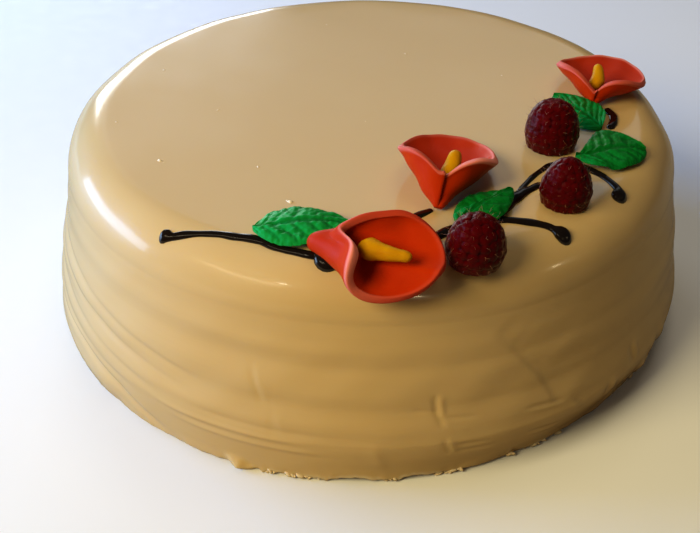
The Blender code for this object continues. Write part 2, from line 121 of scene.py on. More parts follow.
@dataclass
class Skin:
    """Points and faces of a mesh, with named values from 0 to 1 at its points.

    Args:
        points: Array of points, one row each.
        faces: Corner numbers of each face.
        masks: Named values, one for each point.
    """

    points: np.ndarray
    faces: list[tuple[int, ...]]
    masks: dict[str, np.ndarray] = field(default_factory=dict)


def smoothstep(low: float, high: float, value: np.ndarray) -> np.ndarray:
    """Return 0 below low, 1 above high and a smooth rise between."""
    share = np.clip((np.asarray(value, float) - low) / (high - low), 0.0, 1.0)
    return share * share * (3 - 2 * share)


def turn_from(azimuth: np.ndarray, middle: float) -> np.ndarray:
    """Return the turn from a middle azimuth, within half a turn either way."""
    return (azimuth - middle + math.pi) % (2 * math.pi) - math.pi


def azimuth_bump(azimuth: np.ndarray, middle: float, spread: float) -> np.ndarray:
    """Return a bump round the cake that is 1 at its middle azimuth."""
    return np.exp(-((turn_from(azimuth, middle) / spread) ** 2))


def unit(vectors: np.ndarray) -> np.ndarray:
    """Return vectors at length 1."""
    return vectors / np.maximum(np.linalg.norm(vectors, axis=-1, keepdims=True), 1e-12)


class WaveField:
    """Smooth random field, the sum of seeded plane waves.

    Args:
        seed: Seed of the waves.
        wavelength: Middle wavelength, in the unit of the points.
        strength: Size of the field, which is mostly within twice this either way.
        stretch: Factors on x, y and z before the waves, above 1 for shorter waves that way.
    """

    COUNT = 28
    LENGTHS = (0.6, 1.5)

    def __init__(self, seed: int, wavelength: float, strength: float, stretch: tuple = (1, 1, 1)) -> None:
        rng = np.random.default_rng(seed)
        lengths = wavelength * rng.uniform(*self.LENGTHS, self.COUNT)
        ways = unit(rng.normal(size=(self.COUNT, 3)))
        self.waves = ways * (2 * math.pi / lengths)[:, None] * np.array(stretch)
        self.phases = rng.uniform(0, 2 * math.pi, self.COUNT)
        self.strength = strength

    def at(self, points: np.ndarray) -> np.ndarray:
        """Return the field at points."""
        total = np.zeros(points.shape[:-1])
        for wave, phase in zip(self.waves, self.phases):
            total += np.sin(points @ wave + phase)
        return total * math.sqrt(2 / self.COUNT) * self.strength


def own_field(first: tuple[int, float, float], seed: int) -> WaveField:
    """Return a piece's own field, from a first seed, a wavelength and a strength."""
    return WaveField(first[0] + seed, first[1], first[2])


# Waves of the glaze, with strengths in mm
LONG_WAVES = WaveField(11, 26 * MM, 0.06, (1, 1, 2.2))
STREAKS = WaveField(12, 9 * MM, 0.022, (0.16, 0.16, 1.5))
FOOT_WAVES = (WaveField(13, 14 * MM, 0.16), WaveField(14, 4 * MM, 0.07))
SHOULDER_WAVES = WaveField(15, 30 * MM, 0.16)
TOP_WAVES = WaveField(16, 55 * MM, 0.04)
HEM_WAVES = (WaveField(31, 7 * MM, 0.30), WaveField(32, 2.6 * MM, 0.20))
STROKE_WAVES = WaveField(41, 7 * MM, 0.06)

# First seed, wavelength and strength of the waves of each petal, finger, leaf and raspberry
PETAL_WAVES, PETAL_SWELLS = (50, 11.0, 0.14), (60, 9.0, 0.05)
FINGER_WAVES, FINGER_LUMPS = (70, 6.0, 0.045), (80, 2.0, 0.012)
LEAF_EDGES, LEAF_SLANTS = (90, 7 * MM, 0.22), (95, 9 * MM, 0.12)
LEAF_LUMPS, LEAF_GRAIN = (97, 2.6 * MM, 0.07), (99, 1.2 * MM, 0.03)
BERRY_GRAIN = (210, 1.3, 0.03)


def side_radius(azimuth: np.ndarray, height: np.ndarray) -> np.ndarray:
    """Return the radius of the glazed side at heights below the shoulder."""
    azimuth, height = np.broadcast_arrays(azimuth, height)
    shoulder_foot = CAKE_HEIGHT - SHOULDER_DROP
    upper = BULGE_RADIUS + (SHOULDER_RADIUS - BULGE_RADIUS) * (height - BULGE_HEIGHT) / (
        shoulder_foot - BULGE_HEIGHT
    )
    tuck = FOOT_TUCK + FRONT_TUCK * azimuth_bump(azimuth, FRONT_TUCK_AZIMUTH, FRONT_TUCK_SPREAD)
    lower = BULGE_RADIUS - tuck * (1 - smoothstep(-BULGE_HEIGHT * 0.2, BULGE_HEIGHT, height))
    radius = np.where(height >= BULGE_HEIGHT, upper, lower)
    radius -= np.clip(FOOT_EDGE - height, 0, None) * 0.8
    for middle, half, depth, turn, spread in KNIFE_BANDS:
        band = np.exp(-(((height - middle * MM) / (half * MM)) ** 2))
        radius += depth * MM * band * azimuth_bump(azimuth, math.radians(turn), math.radians(spread))
    return radius


def glaze_height(x: np.ndarray, y: np.ndarray) -> np.ndarray:
    """Return the height of the top and shoulder of the glaze over points."""
    share = (np.hypot(x, y) - SHOULDER_TOP_RADIUS) / (SHOULDER_RADIUS - SHOULDER_TOP_RADIUS)
    share = np.clip(share, 0.0, 0.999)
    return CAKE_HEIGHT - SHOULDER_DROP + SHOULDER_DROP * np.sqrt(1 - share * share)


def smooth_path(points: tuple, step: float) -> np.ndarray:
    """Return points a step apart, in metres, on a Catmull-Rom curve through points in mm."""
    knots = np.array(points, float)
    ends = np.vstack([2 * knots[0] - knots[1], knots, 2 * knots[-1] - knots[-2]])
    path = []
    for before, start, end, after in zip(ends, ends[1:], ends[2:], ends[3:]):
        parts = max(1, round(math.dist(start[:2], end[:2]) * MM / step))
        for t in np.arange(parts) / parts:
            path.append(0.5 * (2 * start + (end - before) * t
                               + (2 * before - 5 * start + 4 * end - after) * t * t
                               + (3 * start - before - 3 * end + after) * t ** 3))
    path.append(knots[-1])
    return np.array(path) * MM


DRAPE_POINTS = np.vstack([smooth_path(points, DRAPE_STEP) for points in STROKES.values()])


def drape_height(x: np.ndarray, y: np.ndarray) -> np.ndarray:
    """Return the height of the glaze and, smoothed outwards, of the strokes over points."""
    lift = np.zeros(np.shape(x))
    for stroke_x, stroke_y, half in DRAPE_POINTS:
        away = np.hypot(x - stroke_x, y - stroke_y)
        crest = half * STROKE_CREST + 0.1 * MM
        near = 1 - smoothstep(half + DRAPE_FLAT, half + DRAPE_REACH, away)
        lift = np.maximum(lift, crest * near)
    return glaze_height(x, y) + lift


def loft(rings: np.ndarray, start: np.ndarray, end: np.ndarray) -> Skin:
    """Join closed rings of points into one skin.

    Args:
        rings: Array of rings, of points in each ring, of coordinates.
        start: Point that closes the first ring.
        end: Point that closes the last ring.

    Returns:
        The skin.
    """
    rows, columns = rings.shape[:2]
    numbers = np.arange(rows * columns).reshape(rows, columns)
    after = np.roll(numbers, -1, axis=1)
    quads = np.stack([numbers[:-1], after[:-1], after[1:], numbers[1:]], axis=-1).reshape(-1, 4)
    faces = [tuple(quad) for quad in quads.tolist()]
    points = [rings.reshape(-1, 3)]
    total = rows * columns
    for row, pole, flip in ((0, start, True), (rows - 1, end, False)):
        points.append(np.asarray(pole, float).reshape(1, 3))
        for first, second in zip(numbers[row].tolist(), after[row].tolist()):
            faces.append((second, first, total) if flip else (first, second, total))
        total += 1
    return Skin(np.vstack(points), faces)


def tube(rings: np.ndarray, scale: float = 1.0) -> Skin:
    """Join rings of points into a skin that is closed in the middle of its first and last ring."""
    return loft(rings * scale, start=rings[0].mean(0) * scale, end=rings[-1].mean(0) * scale)


def circle(sides: int, first: np.ndarray, second: np.ndarray) -> np.ndarray:
    """Return points round a circle of radius 1 in the plane of two directions."""
    turns = np.arange(sides) / sides * 2 * math.pi
    return np.cos(turns)[:, None] * first + np.sin(turns)[:, None] * second


def join_skins(skins: list[Skin]) -> Skin:
    """Return one skin of several, with the masks that the first one has."""
    faces, total = [], 0
    for skin in skins:
        faces += [tuple(corner + total for corner in face) for face in skin.faces]
        total += len(skin.points)
    masks = {}
    for name in skins[0].masks:
        masks[name] = np.concatenate([skin.masks.get(name, np.zeros(len(skin.points))) for skin in skins])
    return Skin(np.vstack([skin.points for skin in skins]), faces, masks)


class Shader:
    """A material's or node group's tree, with short ways to add and join nodes."""

    # A Mix node's places for its factor and two colours, and for the mixed colour
    MIX_INPUTS = (0, 6, 7)
    MIX_OUTPUT = 2

    def __init__(self, tree: bpy.types.NodeTree) -> None:
        self.tree = tree

    def add(self, kind: str, **settings: object) -> bpy.types.Node:
        """Add a node and set its properties."""
        node = self.tree.nodes.new(kind)
        for name, value in settings.items():
            setattr(node, name, value)
        return node

    def join(self, source: bpy.types.NodeSocket, target: bpy.types.NodeSocket) -> None:
        """Link two sockets."""
        self.tree.links.new(source, target)

    def feed(self, value: object, target: bpy.types.NodeSocket) -> None:
        """Link a socket to a target, or set the target's own value."""
        if isinstance(value, bpy.types.NodeSocket):
            self.join(value, target)
        elif target.type == "RGBA" and len(value) == 3:
            target.default_value = (*value, 1.0)
        else:
            target.default_value = value

    def maths(self, operation: str, first: object, second: object, clamp: bool = False
              ) -> bpy.types.NodeSocket:
        """Return the output of a Math node."""
        node = self.add("ShaderNodeMath", operation=operation, use_clamp=clamp)
        self.feed(first, node.inputs[0])
        self.feed(second, node.inputs[1])
        return node.outputs[0]

    def noise(self, place: bpy.types.NodeSocket, scale: bpy.types.NodeSocket, detail: float = 2.0,
              roughness: float = 0.5) -> bpy.types.NodeSocket:
        """Return the value of a noise at a place."""
        node = self.add("ShaderNodeTexNoise")
        self.join(place, node.inputs["Vector"])
        self.join(scale, node.inputs["Scale"])
        node.inputs["Detail"].default_value = detail
        node.inputs["Roughness"].default_value = roughness
        return node.outputs[0]

    def ramp(self, value: bpy.types.NodeSocket, low: float, high: float) -> bpy.types.NodeSocket:
        """Return a value carried smoothly from one range to that from 0 to 1."""
        node = self.add("ShaderNodeMapRange", interpolation_type="SMOOTHSTEP")
        self.join(value, node.inputs["Value"])
        node.inputs["From Min"].default_value = low
        node.inputs["From Max"].default_value = high
        return node.outputs["Result"]

    def mix(self, share: object, first: object, second: object) -> bpy.types.NodeSocket:
        """Return the mix of two colours."""
        node = self.add("ShaderNodeMix", data_type="RGBA")
        for value, place in zip((share, first, second), self.MIX_INPUTS):
            self.feed(value, node.inputs[place])
        return node.outputs[self.MIX_OUTPUT]

    def mask(self, name: str) -> bpy.types.NodeSocket:
        """Return a named value of the mesh's points."""
        return self.add("ShaderNodeAttribute", attribute_name=name).outputs["Fac"]

    def group(self, made: bpy.types.NodeTree, **values: object) -> bpy.types.Node:
        """Place a node group with its own values."""
        node = self.add("ShaderNodeGroup", node_tree=made)
        for name, value in values.items():
            self.feed(value, node.inputs[name.replace("_", " ")])
        return node


def new_group(name: str, inputs: tuple, outputs: tuple) -> tuple[Shader, bpy.types.Node, bpy.types.Node]:
    """Return a node group's tree and its input and output nodes.

    Args:
        name: Name of the group.
        inputs: Name, socket type and first value of each input.
        outputs: Name and socket type of each output.
    """
    tree = bpy.data.node_groups.new(name, "ShaderNodeTree")
    for label, kind, value in inputs:
        tree.interface.new_socket(label, in_out="INPUT", socket_type=kind).default_value = value
    for label, kind in outputs:
        tree.interface.new_socket(label, in_out="OUTPUT", socket_type=kind)
    shader = Shader(tree)
    return shader, shader.add("NodeGroupInput"), shader.add("NodeGroupOutput")


FLOAT, COLOUR = "NodeSocketFloat", "NodeSocketColor"

# Detail and roughness of the soft patches' noise, and the range of it that they use
MOTTLE_NOISE = (4.0, 0.55)
MOTTLE_RAMP = (0.3, 0.7)
# Detail of the fine grain, scale of the broad one beside it, and how much roughness varies by it
GRAIN_DETAIL = 3.0
BROAD_GRAIN = 0.15
GRAIN_SPREAD = 0.6
COAT_ROUGHNESS = 0.06


def mottle_group() -> bpy.types.NodeTree:
    """Return a group that varies a colour softly over a surface, with a matching height."""
    inputs = (("Colour", COLOUR, (1, 1, 1, 1)), ("Darker", COLOUR, (0, 0, 0, 1)),
              ("Scale", FLOAT, 60.0), ("Flatness", FLOAT, 1.0), ("Amount", FLOAT, 0.5))
    shader, given, made = new_group("Mottle", inputs, (("Colour", COLOUR), ("Height", FLOAT)))
    place = shader.add("ShaderNodeTexCoord").outputs["Object"]
    parts = shader.add("ShaderNodeSeparateXYZ")
    shader.join(place, parts.inputs[0])
    squeezed = shader.add("ShaderNodeCombineXYZ")
    shader.join(parts.outputs[0], squeezed.inputs[0])
    shader.join(parts.outputs[1], squeezed.inputs[1])
    shader.join(shader.maths("MULTIPLY", parts.outputs[2], given.outputs["Flatness"]), squeezed.inputs[2])
    noise = shader.noise(squeezed.outputs[0], given.outputs["Scale"], *MOTTLE_NOISE)
    value = shader.ramp(noise, *MOTTLE_RAMP)
    share = shader.maths("MULTIPLY", value, given.outputs["Amount"])
    shader.join(shader.mix(share, given.outputs["Colour"], given.outputs["Darker"]), made.inputs["Colour"])
    shader.join(value, made.inputs["Height"])
    return shader.tree


def grain_group() -> bpy.types.NodeTree:
    """Return a group with the fine grain of fondant or glaze as a height and a roughness."""
    inputs = (("Scale", FLOAT, 900.0), ("Roughness", FLOAT, 0.4), ("Spread", FLOAT, 0.1))
    shader, given, made = new_group("Grain", inputs, (("Height", FLOAT), ("Roughness", FLOAT)))
    place = shader.add("ShaderNodeTexCoord").outputs["Object"]
    fine = shader.noise(place, given.outputs["Scale"], GRAIN_DETAIL)
    broad = shader.noise(place, shader.maths("MULTIPLY", given.outputs["Scale"], BROAD_GRAIN))
    offset = shader.maths("SUBTRACT", broad, 0.5)
    spread = shader.maths("MULTIPLY", offset, given.outputs["Spread"])
    shader.join(shader.maths("ADD", given.outputs["Roughness"], spread, clamp=True), made.inputs["Roughness"])
    shader.join(fine, made.inputs["Height"])
    return shader.tree


@dataclass(frozen=True)
class Finish:
    """What a material's shader is set to.

    Args:
        colour: Main colour, linear.
        darker: Colour of its darker patches.
        roughness: Middle roughness.
        mottle_scale: Scale of the soft patches.
        mottle: How strong they are.
        grain_scale: Scale of the fine grain.
        grain_depth: Depth of the grain in metres.
        coat: Weight of a clear coat.
        subsurface: Weight of the light that goes through.
        radius: How far that light goes, for red, green and blue, in metres.
        specular: Specular level.
    """

    colour: tuple[float, float, float]
    darker: tuple[float, float, float]
    roughness: float
    mottle_scale: float = 60.0
    mottle: float = 0.5
    grain_scale: float = 900.0
    grain_depth: float = 0.03 * MM
    coat: float = 0.0
    subsurface: float = 0.0
    radius: tuple[float, float, float] = (1.0 * MM, 0.5 * MM, 0.25 * MM)
    specular: float = 0.5


GLAZE = Finish(
    (0.60, 0.41, 0.180), (0.57, 0.37, 0.145), 0.20, mottle_scale=22, mottle=0.25, grain_scale=420,
    grain_depth=0.004 * MM, coat=0.35, subsurface=0.12, radius=(5.0 * MM, 2.6 * MM, 1.0 * MM))
# Dark brown painted as shade in the recess under the lifted hem of the glaze
HEM_GAP_SHADE = (0.075, 0.028, 0.010)
HEM_COLOUR = (0.78, 0.62, 0.40)
# Pale specks of sugar, whose paleness is partly a painted highlight of the bubbles
SPECK_AND_HIGHLIGHT = Finish((0.80, 0.66, 0.45), HEM_COLOUR, 0.25, mottle_scale=300, grain_depth=0.0, coat=0.3)
CRUMB = Finish(HEM_COLOUR, GLAZE.colour, 0.35, mottle_scale=300, grain_depth=0.0, subsurface=0.1)
CHOCOLATE = Finish(
    (0.0045, 0.0025, 0.0016), (0.010, 0.005, 0.0024), 0.12, mottle_scale=170, mottle=0.6, grain_scale=700,
    grain_depth=0.015 * MM)
PETAL = Finish(
    (0.47, 0.025, 0.001), (0.41, 0.016, 0.001), 0.52, mottle_scale=90, mottle=0.6, grain_scale=1500,
    grain_depth=0.045 * MM, subsurface=0.08, radius=(1.5 * MM, 0.3 * MM, 0.15 * MM), specular=0.10)
# Pale pink painted highlight along the rim of each calla, brightest at its lip
PETAL_RIM_HIGHLIGHT = (0.80, 0.235, 0.17)
PETAL_SHANK = (0.40, 0.018, 0.001)
# Painted shade inside the cone of a calla, darkest towards its tip
PETAL_THROAT_SHADE = (0.20, 0.006, 0.002)
YOLK = Finish(
    (0.56, 0.26, 0.001), (0.48, 0.18, 0.001), 0.5, mottle_scale=160, mottle=0.7, grain_scale=1600,
    grain_depth=0.05 * MM, subsurface=0.12, radius=(1.5 * MM, 1.0 * MM, 0.2 * MM), specular=0.20)
LEAF = Finish(
    (0.003, 0.175, 0.024), (0.001, 0.100, 0.008), 0.48, mottle_scale=220, mottle=0.7, grain_scale=1400,
    grain_depth=0.05 * MM, subsurface=0.06, radius=(0.3 * MM, 0.8 * MM, 0.2 * MM), specular=0.08)
# Leaf 1 is painted brighter, as if it stood more in the light from the left
LEAF_PAINTED_LIGHT = replace(LEAF, colour=(0.006, 0.30, 0.055), darker=(0.003, 0.20, 0.028))
# Painted shade in the pressed vein grooves of the leaves
LEAF_VEIN_SHADE = (0.001, 0.060, 0.005)
BERRY = Finish(
    (0.072, 0.0006, 0.0012), (0.030, 0.0003, 0.0005), 0.32, mottle_scale=260, mottle=0.7, grain_scale=2400,
    grain_depth=0.03 * MM, subsurface=0.08, radius=(1.8 * MM, 0.25 * MM, 0.25 * MM), specular=0.09)
# Painted shade in the creases between the drupelets
BERRY_CREASE_SHADE = (0.016, 0.0, 0.001)
HAIR = Finish((0.42, 0.20, 0.12), (0.22, 0.06, 0.03), 0.5, grain_depth=0.0, mottle_scale=400)
FLOOR = Finish((0.84, 0.835, 0.82), (0.82, 0.815, 0.80), 0.6, mottle_scale=3, mottle=0.6, grain_depth=0.0)


class Materials:
    """Makes the materials of the cake and its floor, from two shared node groups."""

    def __init__(self) -> None:
        self.mottle = mottle_group()
        self.grain = grain_group()

    def make(self, name: str, finish: Finish, masks: tuple = (), streaks: tuple = (),
             flatness: float = 1.0) -> bpy.types.Material:
        """Return a Principled material.

        Args:
            name: Name of the material.
            finish: Its finish.
            masks: Name of a mesh value, the colour it brings in and how strongly, for each.
            streaks: Scale, flatness and depth in metres of each layer of long streaks.
            flatness: How much thinner than wide the soft patches are.

        Returns:
            The material.
        """
        made = bpy.data.materials.new(name)
        made.use_nodes = True
        shader = Shader(made.node_tree)
        surface = made.node_tree.nodes["Principled BSDF"]
        patches = shader.group(self.mottle, Colour=finish.colour, Darker=finish.darker,
                               Scale=finish.mottle_scale, Flatness=flatness, Amount=finish.mottle)
        colour = patches.outputs["Colour"]
        for mask, brought, strength in masks:
            share = shader.maths("MULTIPLY", shader.mask(mask), strength, clamp=True)
            colour = shader.mix(share, colour, brought)
        shader.join(colour, surface.inputs["Base Color"])
        grain = shader.group(self.grain, Scale=finish.grain_scale, Roughness=finish.roughness,
                             Spread=finish.roughness * GRAIN_SPREAD)
        shader.join(grain.outputs["Roughness"], surface.inputs["Roughness"])
        surface.inputs["Metallic"].default_value = 0.0
        surface.inputs["Specular IOR Level"].default_value = finish.specular
        surface.inputs["Coat Weight"].default_value = finish.coat
        surface.inputs["Coat Roughness"].default_value = COAT_ROUGHNESS
        surface.inputs["Subsurface Weight"].default_value = finish.subsurface
        surface.inputs["Subsurface Scale"].default_value = 1.0
        surface.inputs["Subsurface Radius"].default_value = finish.radius
        layers = [(grain.outputs["Height"], finish.grain_depth)]
        for scale, flat, depth in streaks:
            layer = shader.group(self.mottle, Scale=scale, Flatness=flat)
            layers.append((shader.maths("MULTIPLY", layer.outputs["Height"], shader.mask("side")), depth))
        target = surface.inputs["Normal"]
        for height, depth in reversed([layer for layer in layers if layer[1] > 0]):
            bump = shader.add("ShaderNodeBump")
            bump.inputs["Strength"].default_value = 1.0
            bump.inputs["Distance"].default_value = depth
            shader.join(height, bump.inputs["Height"])
            shader.join(bump.outputs["Normal"], target)
            target = bump.inputs["Normal"]
        return made


def add_mesh(name: str, skin: Skin, finish: bpy.types.Material) -> bpy.types.Object:
    """Make an object of a skin and link it to the scene."""
    mesh = bpy.data.meshes.new(name)
    mesh.from_pydata(skin.points.tolist(), [], skin.faces)
    for label, values in skin.masks.items():
        layer = mesh.attributes.new(label, "FLOAT", "POINT")
        layer.data.foreach_set("value", np.clip(values, 0, 1).astype(np.float32))
    mesh.materials.append(finish)
    mesh.shade_smooth()
    mesh.validate()
    made = bpy.data.objects.new(name, mesh)
    bpy.context.scene.collection.objects.link(made)
    return made


def settled(skin: Skin, node: str) -> Skin:
    """Return a skin raised or lowered until its lowest point is that of its solid."""
    skin.points[:, 2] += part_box(node)[0].z - skin.points[:, 2].min()
    return skin


@dataclass
class Piece(ABC):
    """One visible piece of the cake.

    Args:
        name: Name of the piece.
        slot: Material slot of the record, not used by the script.
        nodes: CAD nodes that it stands for.
    """

    name: str
    slot: str
    nodes: tuple[str, ...]

    @abstractmethod
    def skin(self) -> Skin:
        """Return the piece's points and faces."""

    @abstractmethod
    def dress(self, materials: Materials) -> bpy.types.Material:
        """Return the piece's material."""

    def build(self, materials: Materials) -> bpy.types.Object:
        """Build the piece, fix it to the body and let it stand for its solids."""
        skin = self.skin()
        made = add_mesh(self.name, skin, self.dress(materials))
        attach(made, BODY)
        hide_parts(*self.nodes)
        LOG.info("%s: %d faces", self.name, len(skin.faces))
        return made


@dataclass(frozen=True)
class Mark:
    """A line pressed into the glazed side, or raised from it.

    Args:
        start: Azimuth in degrees and height in mm of one end.
        end: The same of the other end.
        width: Half width in mm.
        depth: Depth in mm, below 0 for a groove.
        lip: Height in mm of the ridge beside it, on the side of the larger azimuths.
        step: How much in mm the side beyond it stands back.
    """

    start: tuple[float, float]
    end: tuple[float, float]
    width: float
    depth: float
    lip: float = 0.0
    step: float = 0.0


# How far the ends of a mark fade and a step reaches, in mm, and where a lip stands, in half widths
MARK_FADE = 8.0
STEP_FADE = 16.0
LIP_PLACE = 1.7
MARKS = (
    # Thin grooves of the knife at the left
    Mark((-180, 42.0), (-120, 29.0), 1.2, -0.42),
    Mark((-182, 36.0), (-122, 24.0), 1.3, -0.46),
    Mark((-180, 29.0), (-128, 18.5), 1.2, -0.36),
    Mark((-176, 23.0), (-134, 14.0), 1.3, -0.34),
    # Groove over the round bead at the left foot
    Mark((-184, 15.0), (-148, 13.2), 1.5, -0.90),
    Mark((-148, 13.2), (-136, 9.6), 1.4, -0.75),
    Mark((-136, 9.6), (-126, 3.4), 1.3, -0.50),
    Mark((-186, 6.4), (-138, 5.4), 4.2, 1.25),
    # Low terraces near the front foot
    Mark((-124, 15.3), (-101, 15.4), 0.7, 0.32),
    Mark((-121, 12.2), (-98, 12.0), 0.8, 0.28),
    Mark((-118, 19.0), (-97, 18.4), 1.0, -0.22),
    # Dents at the front
    Mark((-79.6, 31.5), (-79.2, 26.0), 0.9, -0.45, lip=0.40),
    Mark((-79.4, 26.6), (-78.3, 22.0), 0.8, -0.40, lip=0.10),
    Mark((-78.0, 16.4), (-76.9, 11.4), 0.9, -0.28, lip=0.26),
    Mark((-83.0, 27.5), (-79.0, 26.5), 0.6, -0.22),
    Mark((-78.0, 24.2), (-73.0, 23.6), 0.7, -0.20),
    Mark((-76.0, 14.4), (-71.0, 13.8), 0.6, -0.25),
    Mark((-75.5, 11.6), (-70.0, 11.0), 0.7, -0.22),
    Mark((-108.4, 38.0), (-106.8, 28.0), 1.1, -0.16, lip=0.07),
    Mark((-105.0, 24.0), (-104.2, 17.0), 1.4, -0.09, lip=0.07),
    Mark((-89.0, 15.5), (-87.5, 6.5), 2.0, 0.26),
    # Curved edge where two strokes of the knife meet
    Mark((-69.6, 48.0), (-66.4, 41.5), 1.6, 0.04, step=0.28),
    Mark((-66.6, 42.0), (-61.8, 31.0), 1.2, 0.06, step=0.42),
    Mark((-62.0, 31.5), (-58.9, 20.2), 1.0, 0.06, step=0.42),
    # Small dents near the right foot
    Mark((-63.5, 21.6), (-57.5, 20.0), 0.7, -0.35, lip=0.2),
    Mark((-63.0, 11.6), (-58.0, 10.4), 0.7, -0.30, lip=0.2),
    Mark((-54.6, 17.6), (-52.8, 15.4), 0.9, -0.35, lip=0.25),
    Mark((-46.8, 16.2), (-46.2, 11.6), 1.3, -0.50, lip=0.45),
    Mark((-43.8, 8.0), (-43.2, 3.0), 1.5, 0.55),
    Mark((-40.4, 23.0), (-39.6, 17.6), 1.3, -0.45, lip=0.50),
    Mark((-35.2, 11.0), (-34.2, 5.0), 1.8, 0.70),
    Mark((-30.0, 16.0), (-27.0, 6.0), 2.2, -0.45, lip=0.45),
    # The same kinds of marks behind
    Mark((8, 40.0), (62, 36.5), 0.6, -0.32),
    Mark((14, 30.5), (70, 27.0), 0.8, -0.34),
    Mark((40, 20.5), (104, 18.0), 0.7, -0.30),
    Mark((96, 44.0), (150, 40.5), 0.6, -0.30),
    Mark((100, 33.0), (160, 29.0), 0.7, -0.36),
    Mark((118, 15.0), (176, 13.0), 1.0, -0.60),
    Mark((76, 34.0), (79, 22.0), 0.9, -0.45, lip=0.35),
    Mark((126, 26.0), (124, 19.0), 0.9, -0.40, lip=0.30),
    Mark((28, 17.0), (31, 8.0), 1.8, 0.40),
    Mark((-8, 12.5), (20, 11.5), 0.9, -0.45),
)


def mark_relief(azimuth: np.ndarray, height: np.ndarray) -> np.ndarray:
    """Return how far all the marks push the side out or in, in metres."""
    relief = np.zeros(np.shape(azimuth))
    tall = height / MM
    for mark in MARKS:
        middle = math.radians((mark.start[0] + mark.end[0]) / 2)
        around = turn_from(azimuth, middle) * BULGE_RADIUS / MM
        half_run = math.radians(mark.end[0] - mark.start[0]) / 2 * BULGE_RADIUS / MM
        start, end = np.array([-half_run, mark.start[1]]), np.array([half_run, mark.end[1]])
        line = end - start
        length = math.hypot(*line)
        along = ((around - start[0]) * line[0] + (tall - start[1]) * line[1]) / length
        across = ((around - start[0]) * line[1] - (tall - start[1]) * line[0]) / length
        if line[1] > 0 or abs(line[0]) < abs(line[1]):
            across = -across
        fade = max(mark.width * 1.5, min(length * 0.25, MARK_FADE))
        inside = smoothstep(-fade, fade, along) * (1 - smoothstep(length - fade, length + fade, along))
        shape = mark.depth * np.exp(-((across / mark.width) ** 2))
        shape += mark.lip * np.exp(-(((across - mark.width * LIP_PLACE) / mark.width) ** 2))
        back = smoothstep(-mark.width, mark.width, across) * np.exp(-((across / STEP_FADE) ** 2))
        relief += (shape - mark.step * back) * inside * MM
    return relief


# Gaps under the hem of the glaze: middle and half width in degrees, height in mm
HEM_GAPS = (
    (-91.5, 4.6, 2.0), (-81.0, 3.6, 1.7), (-98.5, 2.2, 0.8), (-60, 3.0, 0.8), (-104.5, 1.6, 0.5),
    (148, 4.0, 1.4), (72, 3.2, 1.2),
)
# Middle, half width and fade in degrees of the ragged part of the hem, and how ragged it is
HEM_FRONT = (-88.5, 17, 6)
HEM_RAGGED = 0.8
# Drips and lumps at the foot: azimuth in degrees, height in mm, half width in degrees, half height
# in mm, and how far it stands out in mm
FOOT_LUMPS = (
    (-110.7, 1.3, 1.0, 1.8, 2.0), (-111.9, 2.6, 0.7, 1.4, 0.6), (-109.2, 0.4, 1.2, 1.2, 1.5),
    (-106.6, 0.2, 0.6, 0.8, 1.3), (-102.4, 0.2, 0.7, 0.8, 1.1), (-96.4, 0.3, 0.6, 0.7, 0.9),
    (-84.6, 0.3, 0.7, 0.8, 1.0), (-33.5, 9.0, 1.6, 2.0, 0.8),
)
# How low the waves of the side fade, and where those of the foot do
SIDE_WAVES_FADE = 4 * MM
FOOT_WAVES_FADE = (0.5 * MM, 6 * MM)
# How much of the side's relief is left at its upper end, and over what height it fades
RELIEF_TOP = 0.15
RELIEF_FADE = 6 * MM


class BodyRings:
    """Rings of points round the axis, with how much painted shade of the inside under the hem and how much
    pale hem each shows.
    """

    def __init__(self, turns: np.ndarray) -> None:
        self.around = np.stack([np.cos(turns), np.sin(turns)], -1)
        self.rings: list[np.ndarray] = []
        self.inside: list[np.ndarray] = []
        self.pale: list[np.ndarray] = []

    def points(self, radius: np.ndarray | float, height: np.ndarray | float) -> np.ndarray:
        """Return the points of a ring."""
        ring = np.empty((len(self.around), 3))
        ring[:, :2] = self.around * np.reshape(radius, (-1, 1))
        ring[:, 2] = height
        return ring

    def add(self, radius: np.ndarray, height: np.ndarray | float, inside: float = 0.0,
            pale: np.ndarray | float = 0.0) -> None:
        """Add a ring with its mask values."""
        self.rings.append(self.points(radius, height))
        self.inside.append(np.full(len(self.around), inside))
        self.pale.append(np.broadcast_to(pale, len(self.around)).astype(float))


